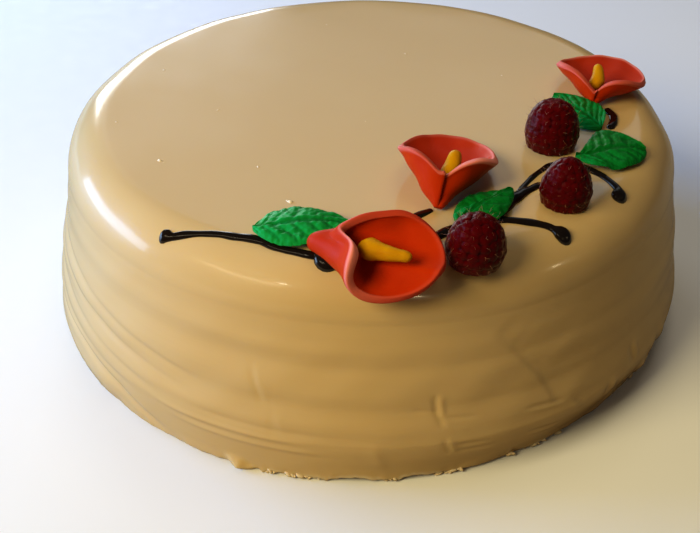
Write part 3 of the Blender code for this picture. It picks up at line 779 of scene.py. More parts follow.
@dataclass
class GlazedBody(Piece):
    """The cake's body under its poured glaze.

    Args:
        columns: How many columns of points go round it.
        side_rows: How many rows are on its side.
        shoulder_rows: How many are on its round shoulder.
        top_rows: How many are on its top.
        front: How much closer the columns are at the front, and over what spread in degrees.
        row_bias: How much closer the rows of the side are at the foot.
        top_bias: How much closer those of the top are at its rim.
        hem_inset: How far the inside lies behind the hem.
        hem_tall: How high the pale hem reaches.
    """

    columns: int = 560
    side_rows: int = 96
    shoulder_rows: int = 36
    top_rows: int = 26
    front: tuple[float, float] = (1.1, 62.0)
    row_bias: float = 1.15
    top_bias: float = 0.8
    hem_inset: float = 0.7 * MM
    hem_tall: float = 2.2 * MM

    def azimuths(self) -> np.ndarray:
        """Return the azimuths of the columns, closer together at the front."""
        fine = np.linspace(-math.pi, math.pi, 4000, endpoint=False)
        density = 1 + self.front[0] * azimuth_bump(fine, math.radians(-90), math.radians(self.front[1]))
        reached = np.concatenate([[0], np.cumsum(density)])
        wanted = np.arange(self.columns) / self.columns * reached[-1]
        return np.interp(wanted, reached, np.concatenate([fine, [math.pi]]))

    def hem(self, azimuth: np.ndarray) -> np.ndarray:
        """Return how high the ragged lower edge of the glaze is over the floor."""
        around = np.stack([np.cos(azimuth), np.sin(azimuth), np.zeros_like(azimuth)], -1) * BULGE_RADIUS
        ragged = sum(waves.at(around) for waves in HEM_WAVES)
        middle, half, fade = (math.radians(angle) for angle in HEM_FRONT)
        front = smoothstep(0, 1, (half - np.abs(turn_from(azimuth, middle))) / fade)
        high = 0.0
        for middle, half, tall in HEM_GAPS:
            turn = turn_from(azimuth, math.radians(middle)) / math.radians(half)
            high = high + tall * np.sqrt(np.clip(1 - turn ** 2, 0, None))
        return np.clip(high + ragged * front * HEM_RAGGED, 0, None) * MM

    def relief(self, azimuth: np.ndarray, height: np.ndarray, points: np.ndarray) -> np.ndarray:
        """Return how far the side stands out from its solid, all its marks together."""
        relief = mark_relief(azimuth, height)
        relief += (LONG_WAVES.at(points) + STREAKS.at(points)) * MM * smoothstep(0, SIDE_WAVES_FADE, height)
        lumpy = sum(waves.at(points) for waves in FOOT_WAVES)
        relief += lumpy * MM * (1 - smoothstep(*FOOT_WAVES_FADE, height))
        for middle, low, wide, tall, out in FOOT_LUMPS:
            turn = turn_from(azimuth, math.radians(middle)) / math.radians(wide)
            relief += out * MM * np.exp(-(turn ** 2) - ((height / MM - low) / tall) ** 2)
        return relief

    def add_side(self, rings: BodyRings, turns: np.ndarray) -> None:
        """Add the rings of the hem and the side."""
        hem = self.hem(turns)
        side_height = CAKE_HEIGHT - SHOULDER_DROP
        foot = side_radius(turns, np.zeros_like(turns))
        # The inside under the lifted hem is painted dark as shade
        rings.add(foot - self.hem_inset, 0.0, inside=1.0)
        rings.add(foot - self.hem_inset * 0.8, hem * 0.5, inside=1.0)
        rings.add(foot - self.hem_inset * 0.55, hem * 0.9, inside=0.8)
        lifted = smoothstep(0.1 * MM, 0.5 * MM, hem)
        for row, height in enumerate(np.linspace(0, 1, self.side_rows) ** self.row_bias * side_height):
            level = np.maximum(height, hem + (height * 0.9 if row else 0))
            plain = side_radius(turns, level)
            relief = self.relief(turns, level, rings.points(BULGE_RADIUS, level))
            kept = RELIEF_TOP + (1 - RELIEF_TOP) * smoothstep(0.0, RELIEF_FADE, side_height - level)
            close = 1 - smoothstep(0.0, self.hem_tall, level - hem)
            rings.add(plain + relief * kept, level, pale=close * (0.35 + 0.65 * lifted))

    def add_top(self, rings: BodyRings) -> None:
        """Add the rings of the shoulder and the top."""
        reach = SHOULDER_RADIUS - SHOULDER_TOP_RADIUS
        for step in range(1, self.shoulder_rows + 1):
            bend = math.pi / 2 * step / self.shoulder_rows
            radius = SHOULDER_TOP_RADIUS + reach * math.cos(bend)
            height = CAKE_HEIGHT - SHOULDER_DROP * (1 - math.sin(bend))
            push = SHOULDER_WAVES.at(rings.points(radius, height)) * MM * math.sin(2 * bend)
            rings.add(radius + push * math.cos(bend), height + push * math.sin(bend) * 0.5)
        for share in 1 - np.linspace(0, 1, self.top_rows + 1)[1:-1] ** self.top_bias:
            radius = SHOULDER_TOP_RADIUS * share
            rings.add(radius, CAKE_HEIGHT + TOP_WAVES.at(rings.points(radius, CAKE_HEIGHT)) * MM)

    def skin(self) -> Skin:
        turns = self.azimuths()
        rings = BodyRings(turns)
        self.add_side(rings, turns)
        self.add_top(rings)
        made = loft(np.array(rings.rings), start=(0, 0, 0), end=(0, 0, CAKE_HEIGHT))
        made.masks["hem_gap_shade"] = np.concatenate([*rings.inside, [1.0, 0.0]])
        made.masks["pale"] = np.concatenate([*rings.pale, [0.0, 0.0]])
        shoulder_foot = CAKE_HEIGHT - SHOULDER_DROP
        shoulder_end = CAKE_HEIGHT - SHOULDER_DROP * 0.25
        made.masks["side"] = 1 - smoothstep(shoulder_foot, shoulder_end, made.points[:, 2])
        return made

    def dress(self, materials: Materials) -> bpy.types.Material:
        # Painted shade in dark brown fills the recess under the lifted hem
        masks = (("pale", HEM_COLOUR, 0.8), ("hem_gap_shade", HEM_GAP_SHADE, 1.0))
        streaks = ((46.0, 9.0, 0.02 * MM), (16.0, 1.5, 0.04 * MM))
        return materials.make("caramel_glaze", GLAZE, masks, streaks, flatness=3.0)


# Specks and bubbles on the glaze: x, y, radius and height in mm
SPECKS = (
    (-74.3, 24.3, 0.55, 0.30), (-84.0, -15.0, 0.45, 0.25), (-51.6, -5.5, 0.50, 0.28),
    (-65.7, -40.0, 0.85, 0.45), (-64.4, -40.8, 0.45, 0.25), (-34.9, -42.7, 0.45, 0.30),
    (-23.7, -62.8, 0.80, 0.55), (-24.6, -62.1, 0.45, 0.35), (46.0, 24.0, 0.40, 0.22),
    (12.0, 41.0, 0.45, 0.22), (-18.0, 66.0, 0.40, 0.20), (-2.0, -12.0, 0.35, 0.20),
)


@dataclass
class Specks(Piece):
    """Small specks and bubbles that lie in the glaze, pale partly as a painted highlight.

    Args:
        sides: How many points go round each.
        rows: How many rings each has.
        uneven: Two-fold and three-fold waves of its outline.
        sink: How deep its foot goes into the glaze, in mm.
        root: How deep its lowest point does.
    """

    sides: int = 14
    rows: int = 5
    uneven: tuple[float, float] = (0.22, 0.12)
    sink: float = 0.12
    root: float = 0.2
    seed: int = 5

    def speck(self, rng: np.random.Generator, x: float, y: float, radius: float, height: float) -> Skin:
        """Return one speck."""
        turns = np.arange(self.sides) / self.sides * 2 * math.pi
        shape = 1 + self.uneven[0] * np.sin(turns * 2 + rng.uniform(0, 6))
        shape = (shape + self.uneven[1] * np.sin(turns * 3 + rng.uniform(0, 6))) * radius
        ground = np.array([x, y, float(glaze_height(x * MM, y * MM)) / MM])
        rings = []
        for row in range(self.rows):
            bend = math.pi / 2 * row / self.rows
            rings.append(ground + np.column_stack([np.cos(turns) * shape * math.cos(bend),
                                                   np.sin(turns) * shape * math.cos(bend),
                                                   np.full(self.sides, height * math.sin(bend) - self.sink)]))
        start, end = ground - np.array([0, 0, self.root]), ground + np.array([0, 0, height])
        return loft(np.array(rings) * MM, start=start * MM, end=end * MM)

    def skin(self) -> Skin:
        rng = np.random.default_rng(self.seed)
        return join_skins([self.speck(rng, *sizes) for sizes in SPECKS])

    def dress(self, materials: Materials) -> bpy.types.Material:
        return materials.make("caramel_speck_highlight", SPECK_AND_HIGHLIGHT)


# Where crumbs of glaze stick out at the foot: middle and half width in degrees, and how many
CRUMB_PATCHES = ((-110.0, 1.4, 6), (-102.0, 5.0, 22), (-86.2, 1.8, 12), (-76.5, 2.6, 9), (-60.0, 6.0, 8),
                 (-35.0, 5.0, 5), (78.0, 9.0, 14), (150.0, 8.0, 12))


@dataclass
class Crumbs(Piece):
    """Small ragged bits of glaze along the foot.

    Args:
        sides: How many points go round each.
        rows: How many rings each has.
        sizes: Least and greatest radius in mm.
        lengths: Least and greatest half length as a share of the radius.
        tilt: Greatest tilt in radians.
        outwards: How far inwards and outwards they point at most.
        high: How high they lie at most, in mm.
        uneven: How uneven they are.
        tip: How far in radians their first and last rings are from their tips.
        low: How far over the floor they keep, in mm.
    """

    sides: int = 9
    rows: int = 7
    sizes: tuple[float, float] = (0.28, 0.75)
    lengths: tuple[float, float] = (1.2, 2.2)
    tilt: float = 0.7
    outwards: tuple[float, float] = (-0.2, 0.7)
    high: float = 1.0
    uneven: float = 0.22
    tip: float = 0.25
    low: float = 0.05
    seed: int = 17

    def crumb(self, rng: np.random.Generator, azimuth: float) -> Skin:
        """Return one crumb at an azimuth of the foot."""
        out = np.array([math.cos(azimuth), math.sin(azimuth), 0.0])
        beside, up = np.array([-out[1], out[0], 0.0]), np.array([0.0, 0.0, 1.0])
        size = rng.uniform(*self.sizes)
        long = size * rng.uniform(*self.lengths)
        tilt = rng.uniform(-self.tilt, self.tilt)
        run = beside * math.cos(tilt) + up * math.sin(tilt) * 0.6 + out * rng.uniform(*self.outwards)
        height = size * 0.55 + rng.uniform(0, self.high)
        radius = float(side_radius(np.array(azimuth), np.array(height * MM))) / MM
        middle = out * (radius + size * 0.15) + up * height
        section = circle(self.sides, out, up)
        rings = []
        for bend in np.linspace(self.tip, math.pi - self.tip, self.rows):
            width = size * math.sin(bend) * (1 + rng.uniform(-self.uneven, self.uneven, self.sides))
            rings.append(middle - run * long * math.cos(bend) + section * width[:, None])
        rings = np.array(rings)
        rings[..., 2] = np.maximum(rings[..., 2], self.low)
        return tube(rings, MM)

    def skin(self) -> Skin:
        rng = np.random.default_rng(self.seed)
        skins = []
        for middle, half, count in CRUMB_PATCHES:
            for azimuth in rng.uniform(middle - half, middle + half, count):
                skins.append(self.crumb(rng, math.radians(azimuth)))
        return join_skins(skins)

    def dress(self, materials: Materials) -> bpy.types.Material:
        return materials.make("caramel_crumb", CRUMB)


@dataclass
class ChocolateStrokes(Piece):
    """The piped twigs and drops of dark chocolate.

    Args:
        sides: How many points go over each stroke.
        cap_rows: How many sections each round end has.
        sink: How deep its edges go into the glaze.
        dome: How full its section is, 1 for a round one.
        point: Width of its last section as a share of the stroke's.
        root: How far under its edges its foot lies.
        root_width: Width of the foot as a share of the stroke's.
    """

    sides: int = 17
    cap_rows: int = 6
    sink: float = 0.25 * MM
    dome: float = 0.85
    point: float = 0.05
    root: float = 0.5 * MM
    root_width: float = 0.7

    def stroke(self, path: np.ndarray) -> Skin:
        """Return one stroke along its path, with round ends."""
        along = unit(np.gradient(path[:, :2], axis=0))
        flat = np.column_stack([path[:, :2], np.zeros(len(path))])
        half = path[:, 2] * (1 + STROKE_WAVES.at(flat))
        caps = np.linspace(0, math.pi / 2, self.cap_rows + 1)[1:]
        sections = [self.cap(path[0, :2], -along[0], half[0], bend) for bend in caps[::-1]]
        sections += zip(path[:, :2], half)
        sections += [self.cap(path[-1, :2], along[-1], half[-1], bend) for bend in caps]
        ways = [*[along[0]] * len(caps), *along, *[along[-1]] * len(caps)]
        return tube(np.array([self.section(*section, way) for section, way in zip(sections, ways)]))

    def cap(self, end: np.ndarray, out: np.ndarray, half: float, bend: float) -> tuple[np.ndarray, float]:
        """Return the middle and half width of a section of a round end."""
        return end + out * half * math.sin(bend), half * max(math.cos(bend), self.point)

    def section(self, middle: np.ndarray, width: float, way: np.ndarray) -> np.ndarray:
        """Return the points of a section across a stroke."""
        across = np.array([-way[1], way[0]])
        bends = np.linspace(0, math.pi, self.sides)
        round_width = width * np.cos(bends) * (1 + 0.05 * np.sin(bends))
        spread = middle[None] + across[None] * round_width[:, None]
        level = glaze_height(spread[:, 0], spread[:, 1])
        dome = width * STROKE_CREST * np.sin(bends) ** self.dome
        ring = np.column_stack([spread, level + dome - self.sink * (1 - np.sin(bends))])
        below = np.array([[*(middle - across * width * self.root_width), ring[-1, 2] - self.root],
                          [*(middle + across * width * self.root_width), ring[0, 2] - self.root]])
        return np.vstack([ring, below])

    def skin(self) -> Skin:
        return join_skins([self.stroke(smooth_path(points, STROKE_STEP)) for points in STROKES.values()])

    def dress(self, materials: Materials) -> bpy.types.Material:
        return materials.make("dark_chocolate", CHOCOLATE)


@dataclass(frozen=True)
class Pose:
    """How a calla lies: its tip in mm, heading, rise and roll of its axis in degrees."""

    tip: tuple[float, float, float]
    heading: float
    rise: float
    roll: float

    def axes(self) -> tuple[np.ndarray, np.ndarray, np.ndarray]:
        """Return the axis and the directions to the long side and to the flank."""
        heading, rise, roll = (math.radians(angle) for angle in (self.heading, self.rise, self.roll))
        level = np.array([math.cos(heading), math.sin(heading), 0.0])
        axis = level * math.cos(rise) + np.array([0.0, 0.0, math.sin(rise)])
        flank = np.array([-math.sin(heading), math.cos(heading), 0.0])
        down = np.cross(axis, flank)
        if down[2] > 0:
            down = -down
        long_side = down * math.cos(roll) + flank * math.sin(roll)
        return axis, long_side, np.cross(axis, long_side)


@dataclass
class Calla(Piece):
    """A disc of red fondant wrapped into a cone.

    Args:
        pose: How it lies.
        lengths: Length of the long side and of the overlap, in mm.
        angles: Half angle, its change towards the long side, and that with two waves, in degrees.
        double: Two-fold waves of the rim in mm.
        triple: Three-fold waves.
        notch: Depth of the notch where the sheet's ends meet.
        belly: How far the long side sags.
        tail: How round the closed end is.
        neck: How many degrees narrower the cone is at its tip.
        overlap: How far in degrees one end of the sheet lies over the other.
        step: How far apart the two ends lie, as a share of the thickness.
        lip: Extra half thickness of the rim in mm, and the turn where it is thickest and its painted
            highlight brightest.
        flare: How far the short side's rim turns outwards in mm, and the share where this starts.
        shank: How much darker its closed end is.
        pale: How strong the rim's painted highlight is away from its lip.
        end_round: How far from the sheet's ends they are round, in mm.
        end_bias: How much closer the columns are at the ends.
    """

    pose: Pose
    lengths: tuple[float, float]
    angles: tuple[float, float, float]
    double: tuple[float, float]
    triple: tuple[float, float]
    notch: float
    belly: float
    tail: float
    neck: float
    overlap: float = 16.0
    step: float = 0.9
    lip: tuple[float, float] = (0.0, 0.0)
    flare: tuple[float, float] = (0.0, 0.6)
    shank: float = 0.0
    pale: float = 0.28
    thickness: float = 1.9
    end_round: float = 0.9
    end_bias: float = 1.15
    columns: int = 190
    rows: int = 44
    edge_rows: int = 7
    seed: int = 1

    def sheet(self, turn: np.ndarray, share: np.ndarray) -> np.ndarray:
        """Return points of the sheet's middle in mm."""
        axis, long_side, flank = self.pose.axes()
        long, short = self.lengths
        reach = short + (long - short) * np.cos(turn / 2) ** 2
        reach = reach + self.double[0] * np.cos(2 * turn) + self.double[1] * np.sin(2 * turn)
        reach = reach + self.triple[0] * np.cos(3 * turn) + self.triple[1] * np.sin(3 * turn)
        reach = reach - self.notch * np.exp(-np.abs(math.pi - np.abs(turn)) / math.radians(22))
        spread = self.angles[0] + self.angles[1] * np.cos(turn) + self.angles[2] * np.cos(2 * turn)
        spread = np.radians(spread - self.neck * (1 - share) ** 1.5 * (0.4 + 0.6 * np.sin(turn) ** 2))
        out = np.cos(turn)[..., None] * long_side + np.sin(turn)[..., None] * flank
        sag = self.belly * np.sin(math.pi * share) * (0.5 + 0.5 * np.cos(turn))
        sag = sag + self.tail * np.sqrt(share) * (1 - share) ** 1.3 * (0.55 - 0.45 * np.cos(turn))
        sag = sag + self.flare[0] * smoothstep(self.flare[1], 1.0, share) ** 1.5 * azimuth_bump(
            turn, math.pi, math.radians(80))
        past = smoothstep(-1, 1, turn / (math.pi * 0.5)) - 0.5
        sag = sag + past * self.thickness * self.step * smoothstep(0.04, 0.3, share)
        cone = axis * np.cos(spread)[..., None] + out * np.sin(spread)[..., None]
        return np.array(self.pose.tip) + cone * (reach * share)[..., None] + out * sag[..., None]

    def half_thickness(self, turn: np.ndarray, share: np.ndarray, middle: np.ndarray, radius: np.ndarray
                       ) -> np.ndarray:
        """Return half the thickness, round at the sheet's ends and greater at parts of the rim."""
        arc = radius * (math.pi + math.radians(self.overlap) / 2 - np.abs(turn))
        rounded = np.sqrt(np.clip(1 - (1 - np.clip(arc / self.end_round, 0, 1)) ** 2, 0, 1))
        rounded = np.maximum(rounded, float(self.step == 0))
        half = self.thickness / 2 * (0.35 + 0.65 * rounded)
        half = half * (1 + own_field(PETAL_SWELLS, self.seed).at(middle))
        thick_lip = self.lip[0] * azimuth_bump(turn, self.lip[1], math.radians(60))
        return half + (0.10 + thick_lip) * smoothstep(0.85, 1.0, share)

    def cut_edge(self, middle: np.ndarray, normal: np.ndarray, half: np.ndarray) -> np.ndarray:
        """Return rings over the cut edge of the sheet, which is flat with round corners."""
        outwards = unit(middle[-1] - middle[-3])
        rings = []
        for bend in np.linspace(0, math.pi, self.edge_rows + 2)[1:-1]:
            side, out = math.cos(bend), math.sin(bend)
            flat_side = math.copysign(abs(side) ** 0.6, side)
            rings.append(middle[-1] + normal[-1] * (half[-1] * flat_side)[..., None]
                         + outwards * (half[-1] * 0.62 * out ** 0.7)[..., None])
        return np.array(rings)

    def mask_values(self, outer: np.ndarray | float, edge: float, inner: np.ndarray | float) -> np.ndarray:
        """Return a mask from its values on the outer side, the cut edge and the inner side."""
        mask = np.zeros((2 * self.rows + self.edge_rows, self.columns))
        mask[:self.rows] = outer
        mask[self.rows:self.rows + self.edge_rows] = edge
        mask[self.rows + self.edge_rows:] = inner
        return mask

    def closed_ends(self, rows: int) -> list[tuple[int, ...]]:
        """Return the faces that close the sheet along its two ends, where each ring has rows points."""
        faces = []
        for column in (0, self.columns - 1):
            base = column * rows
            for row in range(self.rows + self.edge_rows // 2):
                corners = (base + row, base + row + 1, base + rows - 2 - row, base + rows - 1 - row)
                if len(set(corners)) == 4:
                    faces.append(corners if column == 0 else corners[::-1])
        return faces

    def skin(self) -> Skin:
        axis = self.pose.axes()[0]
        ends = np.linspace(-1, 1, self.columns)
        reach = math.pi + math.radians(self.overlap) / 2
        turns = reach * np.sign(ends) * (1 - (1 - np.abs(ends)) ** self.end_bias)
        shares = np.concatenate([np.linspace(0.03, 0.9, self.rows - 10), np.linspace(0.9, 1.0, 11)[1:]])
        turn, share = np.meshgrid(turns, shares)
        small = 0.01
        middle = self.sheet(turn, share)
        along = self.sheet(turn, np.minimum(share + small, 1)) - self.sheet(turn, share - small)
        across = self.sheet(turn + small, share) - self.sheet(turn - small, share)
        normal = unit(np.cross(across, along))
        radial = middle - np.array(self.pose.tip)
        radial = radial - (radial @ axis)[..., None] * axis
        radius = np.linalg.norm(radial, axis=-1)
        outward = np.sum(normal * radial, axis=-1, keepdims=True)
        normal = np.where(outward < 0, -normal, normal)
        wavy = own_field(PETAL_WAVES, self.seed).at(middle) * smoothstep(0.1, 0.5, share)
        middle = middle + normal * wavy[..., None]
        half = self.half_thickness(turn, share, middle, radius)
        outer = middle + normal * half[..., None]
        inner = middle - normal * np.minimum(half, radius * 0.6)[..., None]
        rings = np.concatenate([outer, self.cut_edge(middle, normal, half), inner[::-1]])
        # The rings run from tip to rim and back, so that both ends of the sheet close on themselves
        centre = middle[self.rows // 2]
        skin = loft(rings.transpose(1, 0, 2) * MM, start=centre[0] * MM, end=centre[-1] * MM)
        skin.points = skin.points[:-2]
        skin.faces = [face for face in skin.faces if len(face) == 4] + self.closed_ends(len(rings))
        # The rim and the cut edge get a painted highlight, brightest at the lip
        edge = smoothstep(0.955, 1.0, share)
        pale = self.pale + (1 - self.pale) * azimuth_bump(turns, self.lip[1], math.radians(62))
        shank = self.mask_values(1 - smoothstep(0.55, 0.86, share), 0.0, 0.0) * self.shank
        # Painted shade on the inner side, fading out towards the rim
        throat_shade = self.mask_values(0.0, 0.0, (1 - smoothstep(0.12, 0.62, share))[::-1])
        rim = self.mask_values(edge, 1.0, edge[::-1]) * pale
        for name, mask in (("shank", shank), ("rim", rim), ("throat_shade", throat_shade)):
            skin.masks[name] = mask.T.reshape(-1)
        return settled(skin, self.nodes[0])

    def dress(self, materials: Materials) -> bpy.types.Material:
        # The rim mask paints a highlight and the throat mask paints shade
        masks = (("rim", PETAL_RIM_HIGHLIGHT, 0.9), ("throat_shade", PETAL_THROAT_SHADE, 0.75), ("shank", PETAL_SHANK, 1.0))
        return materials.make("red_fondant", PETAL, masks)


@dataclass
class Spadix(Piece):
    """The yellow finger that lies in a calla.

    Args:
        pose: How the calla lies.
        span: Distances of its thick end and tip along the calla's axis, in mm.
        shifts: Shifts of both ends towards the long side.
        flanks: Shifts of both ends towards the flank.
        radii: Radius of the thick end and of the tip.
        bow: How far it bends, in mm.
        aside: Direction that, with its axis, gives the way in which it bends.
        end_round: How far its round ends reach, as a share of their radius.
    """

    pose: Pose
    span: tuple[float, float]
    shifts: tuple[float, float]
    flanks: tuple[float, float]
    radii: tuple[float, float]
    bow: float = 0.5
    aside: tuple[float, float, float] = (0.3, 0.2, 0.9)
    end_round: float = 1.3
    sides: int = 40
    rows: int = 44
    seed: int = 1

    def skin(self) -> Skin:
        axis, long_side, flank = self.pose.axes()
        tip = np.array(self.pose.tip)
        foot = tip + axis * self.span[0] + long_side * self.shifts[0] + flank * self.flanks[0]
        top = tip + axis * self.span[1] + long_side * self.shifts[1] + flank * self.flanks[1]
        along = unit(top - foot)
        across = unit(np.cross(along, np.array(self.aside)))
        beside = np.cross(along, across)
        thick, thin = self.radii
        length = np.linalg.norm(top - foot)
        first, last = -thick * 0.4, length + thin * 0.7
        section = circle(self.sides, across, beside)
        places = 0.5 - 0.5 * np.cos(np.linspace(0.08, math.pi - 0.08, self.rows))
        rings = []
        for place in first + (last - first) * places:
            share = np.clip(place / length, 0, 1)
            radius = thick + (thin - thick) * smoothstep(0.0, 1.05, share)
            for to_end, end_radius in ((place - first, thick), (last - place, thin)):
                radius *= math.sqrt(max(1 - (1 - min(1, to_end / (end_radius * self.end_round))) ** 2, 0.0))
            middle = foot + along * place + across * self.bow * math.sin(math.pi * share)
            rings.append(middle + section * radius)
        rings = np.array(rings)
        lumps = own_field(FINGER_WAVES, self.seed).at(rings) + own_field(FINGER_LUMPS, self.seed).at(rings)
        middles = rings.mean(1, keepdims=True)
        rings = middles + (rings - middles) * (1 + lumps[..., None] * 0.9)
        return settled(tube(rings, MM), self.nodes[0])

    def dress(self, materials: Materials) -> bpy.types.Material:
        return materials.make("yellow_fondant", YOLK)


@dataclass
class Leaf(Piece):
    """A green fondant leaf with pressed veins, draped over what lies below it.

    Args:
        foot: Middle of its base, x and y in mm.
        tip: Its tip.
        halves: Half widths to the left and to the right.
        arch: How far its middle rises.
        lifts: How far its left and right edges rise.
        outlines: How far towards the tip each side is widest, and how full its outline is.
        veins: How many side veins each half has.
        slant: How far the side veins run towards the tip.
        teeth: How many teeth each edge has, and how far they stand out as a share of the width.
        pucker: How deep the folds between the veins are, in mm.
        finish: Its finish, painted brighter for leaf 1 as if it stood in more light.
        midrib: How deep the middle vein is.
        ridge: How high the ridge beside it is.
        thickness: Its thickness in mm.
        thinnest: Its least thickness.
        edge_rise: How far its round edge rises.
    """

    foot: tuple[float, float]
    tip: tuple[float, float]
    halves: tuple[float, float]
    arch: float
    lifts: tuple[float, float]
    outlines: tuple = ((0.86, 0.72), (0.86, 0.72))
    veins: float = 5.0
    slant: float = 0.36
    teeth: tuple[int, float] = (11, 0.03)
    pucker: float = 0.34
    finish: Finish = LEAF
    midrib: float = 0.34
    ridge: float = 0.16
    thickness: float = 1.3
    thinnest: float = 0.12
    edge_rise: float = 0.35
    rows: int = 110
    columns: int = 72
    seed: int = 1

    def outline(self, along: np.ndarray, across: np.ndarray) -> np.ndarray:
        """Return the leaf's width along it as a share of its greatest, with its teeth."""
        (lean_left, full_left), (lean_right, full_right) = self.outlines
        outline = np.where(across > 0, np.sin(math.pi * along ** lean_left) ** full_left,
                           np.sin(math.pi * along ** lean_right) ** full_right)
        tooth = (along * self.teeth[0]) % 1.0
        return outline * (1 + self.teeth[1] * (tooth - 0.5) * smoothstep(0.6, 1.0, np.abs(across))
                          * smoothstep(0.0, 0.15, along) * smoothstep(0, 0.12, 1 - along))

    def skin(self) -> Skin:
        foot, tip = np.array(self.foot) * MM, np.array(self.tip) * MM
        line = tip - foot
        side = unit(np.array([-line[1], line[0]]))
        along, across = np.meshgrid(np.linspace(0.004, 0.996, self.rows), np.linspace(-1, 1, self.columns),
                                    indexing="ij")
        away = np.abs(across)
        half = np.where(across > 0, self.halves[0], self.halves[1]) * MM
        lift = np.where(across > 0, self.lifts[0], self.lifts[1]) * MM
        sideways = across * half * self.outline(along, across)
        flat = foot + line * along[..., None] + side * sideways[..., None]
        rise = self.arch * MM * np.sin(math.pi * along) * (1 - across ** 2) + lift * across ** 2
        level = drape_height(flat[..., 0], flat[..., 1]) + GAP + rise
        place = np.concatenate([flat, level[..., None]], -1)
        edge_wave = own_field(LEAF_EDGES, self.seed).at(place) * away ** 2
        edge_wave = edge_wave * smoothstep(0, 0.2, along) * smoothstep(0, 0.2, 1 - along)
        # Side veins, as whole numbers of a value that grows along the leaf and towards its middle
        slanted = (along - self.slant * away + 0.10 * across ** 2) * (self.veins + 1)
        slanted = slanted + own_field(LEAF_SLANTS, self.seed).at(place)
        to_vein = np.abs(slanted - np.round(slanted))
        near_mid = smoothstep(0.05, 0.16, away)
        near_edge = 1 - smoothstep(0.82, 1.0, away)
        relief = self.pucker * (smoothstep(0.06, 0.34, to_vein) - 0.45) * near_mid * near_edge
        relief = relief - self.midrib * (1 - near_mid) + self.ridge * np.exp(-((away - 0.17) / 0.07) ** 2)
        for waves in (LEAF_LUMPS, LEAF_GRAIN):
            relief = relief + own_field(waves, self.seed).at(place)
        relief = relief * smoothstep(0, 0.03, along) * smoothstep(0, 0.03, 1 - along)
        rounded = np.sqrt(np.clip(1 - away ** 8, 0, 1))
        thick = self.thickness * (1 - 0.30 * across ** 2) * (0.25 + 0.75 * rounded)
        low, high = place.copy(), place.copy()
        low[..., 2] += np.maximum(edge_wave, 0) * MM + (1 - rounded) * self.edge_rise * MM
        high[..., 2] += (thick + relief + np.maximum(edge_wave, 0)) * MM
        high[..., 2] = np.maximum(high[..., 2], low[..., 2] + self.thinnest * MM)
        skin = tube(np.concatenate([high, low[:, ::-1]], axis=1))
        # Painted shade along the pressed veins
        vein = np.maximum(1 - near_mid, (1 - smoothstep(0.0, 0.16, to_vein)) * near_edge * 0.8)
        mask = np.concatenate([vein, np.zeros_like(vein)], axis=1).reshape(-1)
        skin.masks["vein"] = np.concatenate([mask, [0.0, 0.0]])
        return skin

    def dress(self, materials: Materials) -> bpy.types.Material:
        return materials.make("green_fondant", self.finish, (("vein", LEAF_VEIN_SHADE, 0.55),))


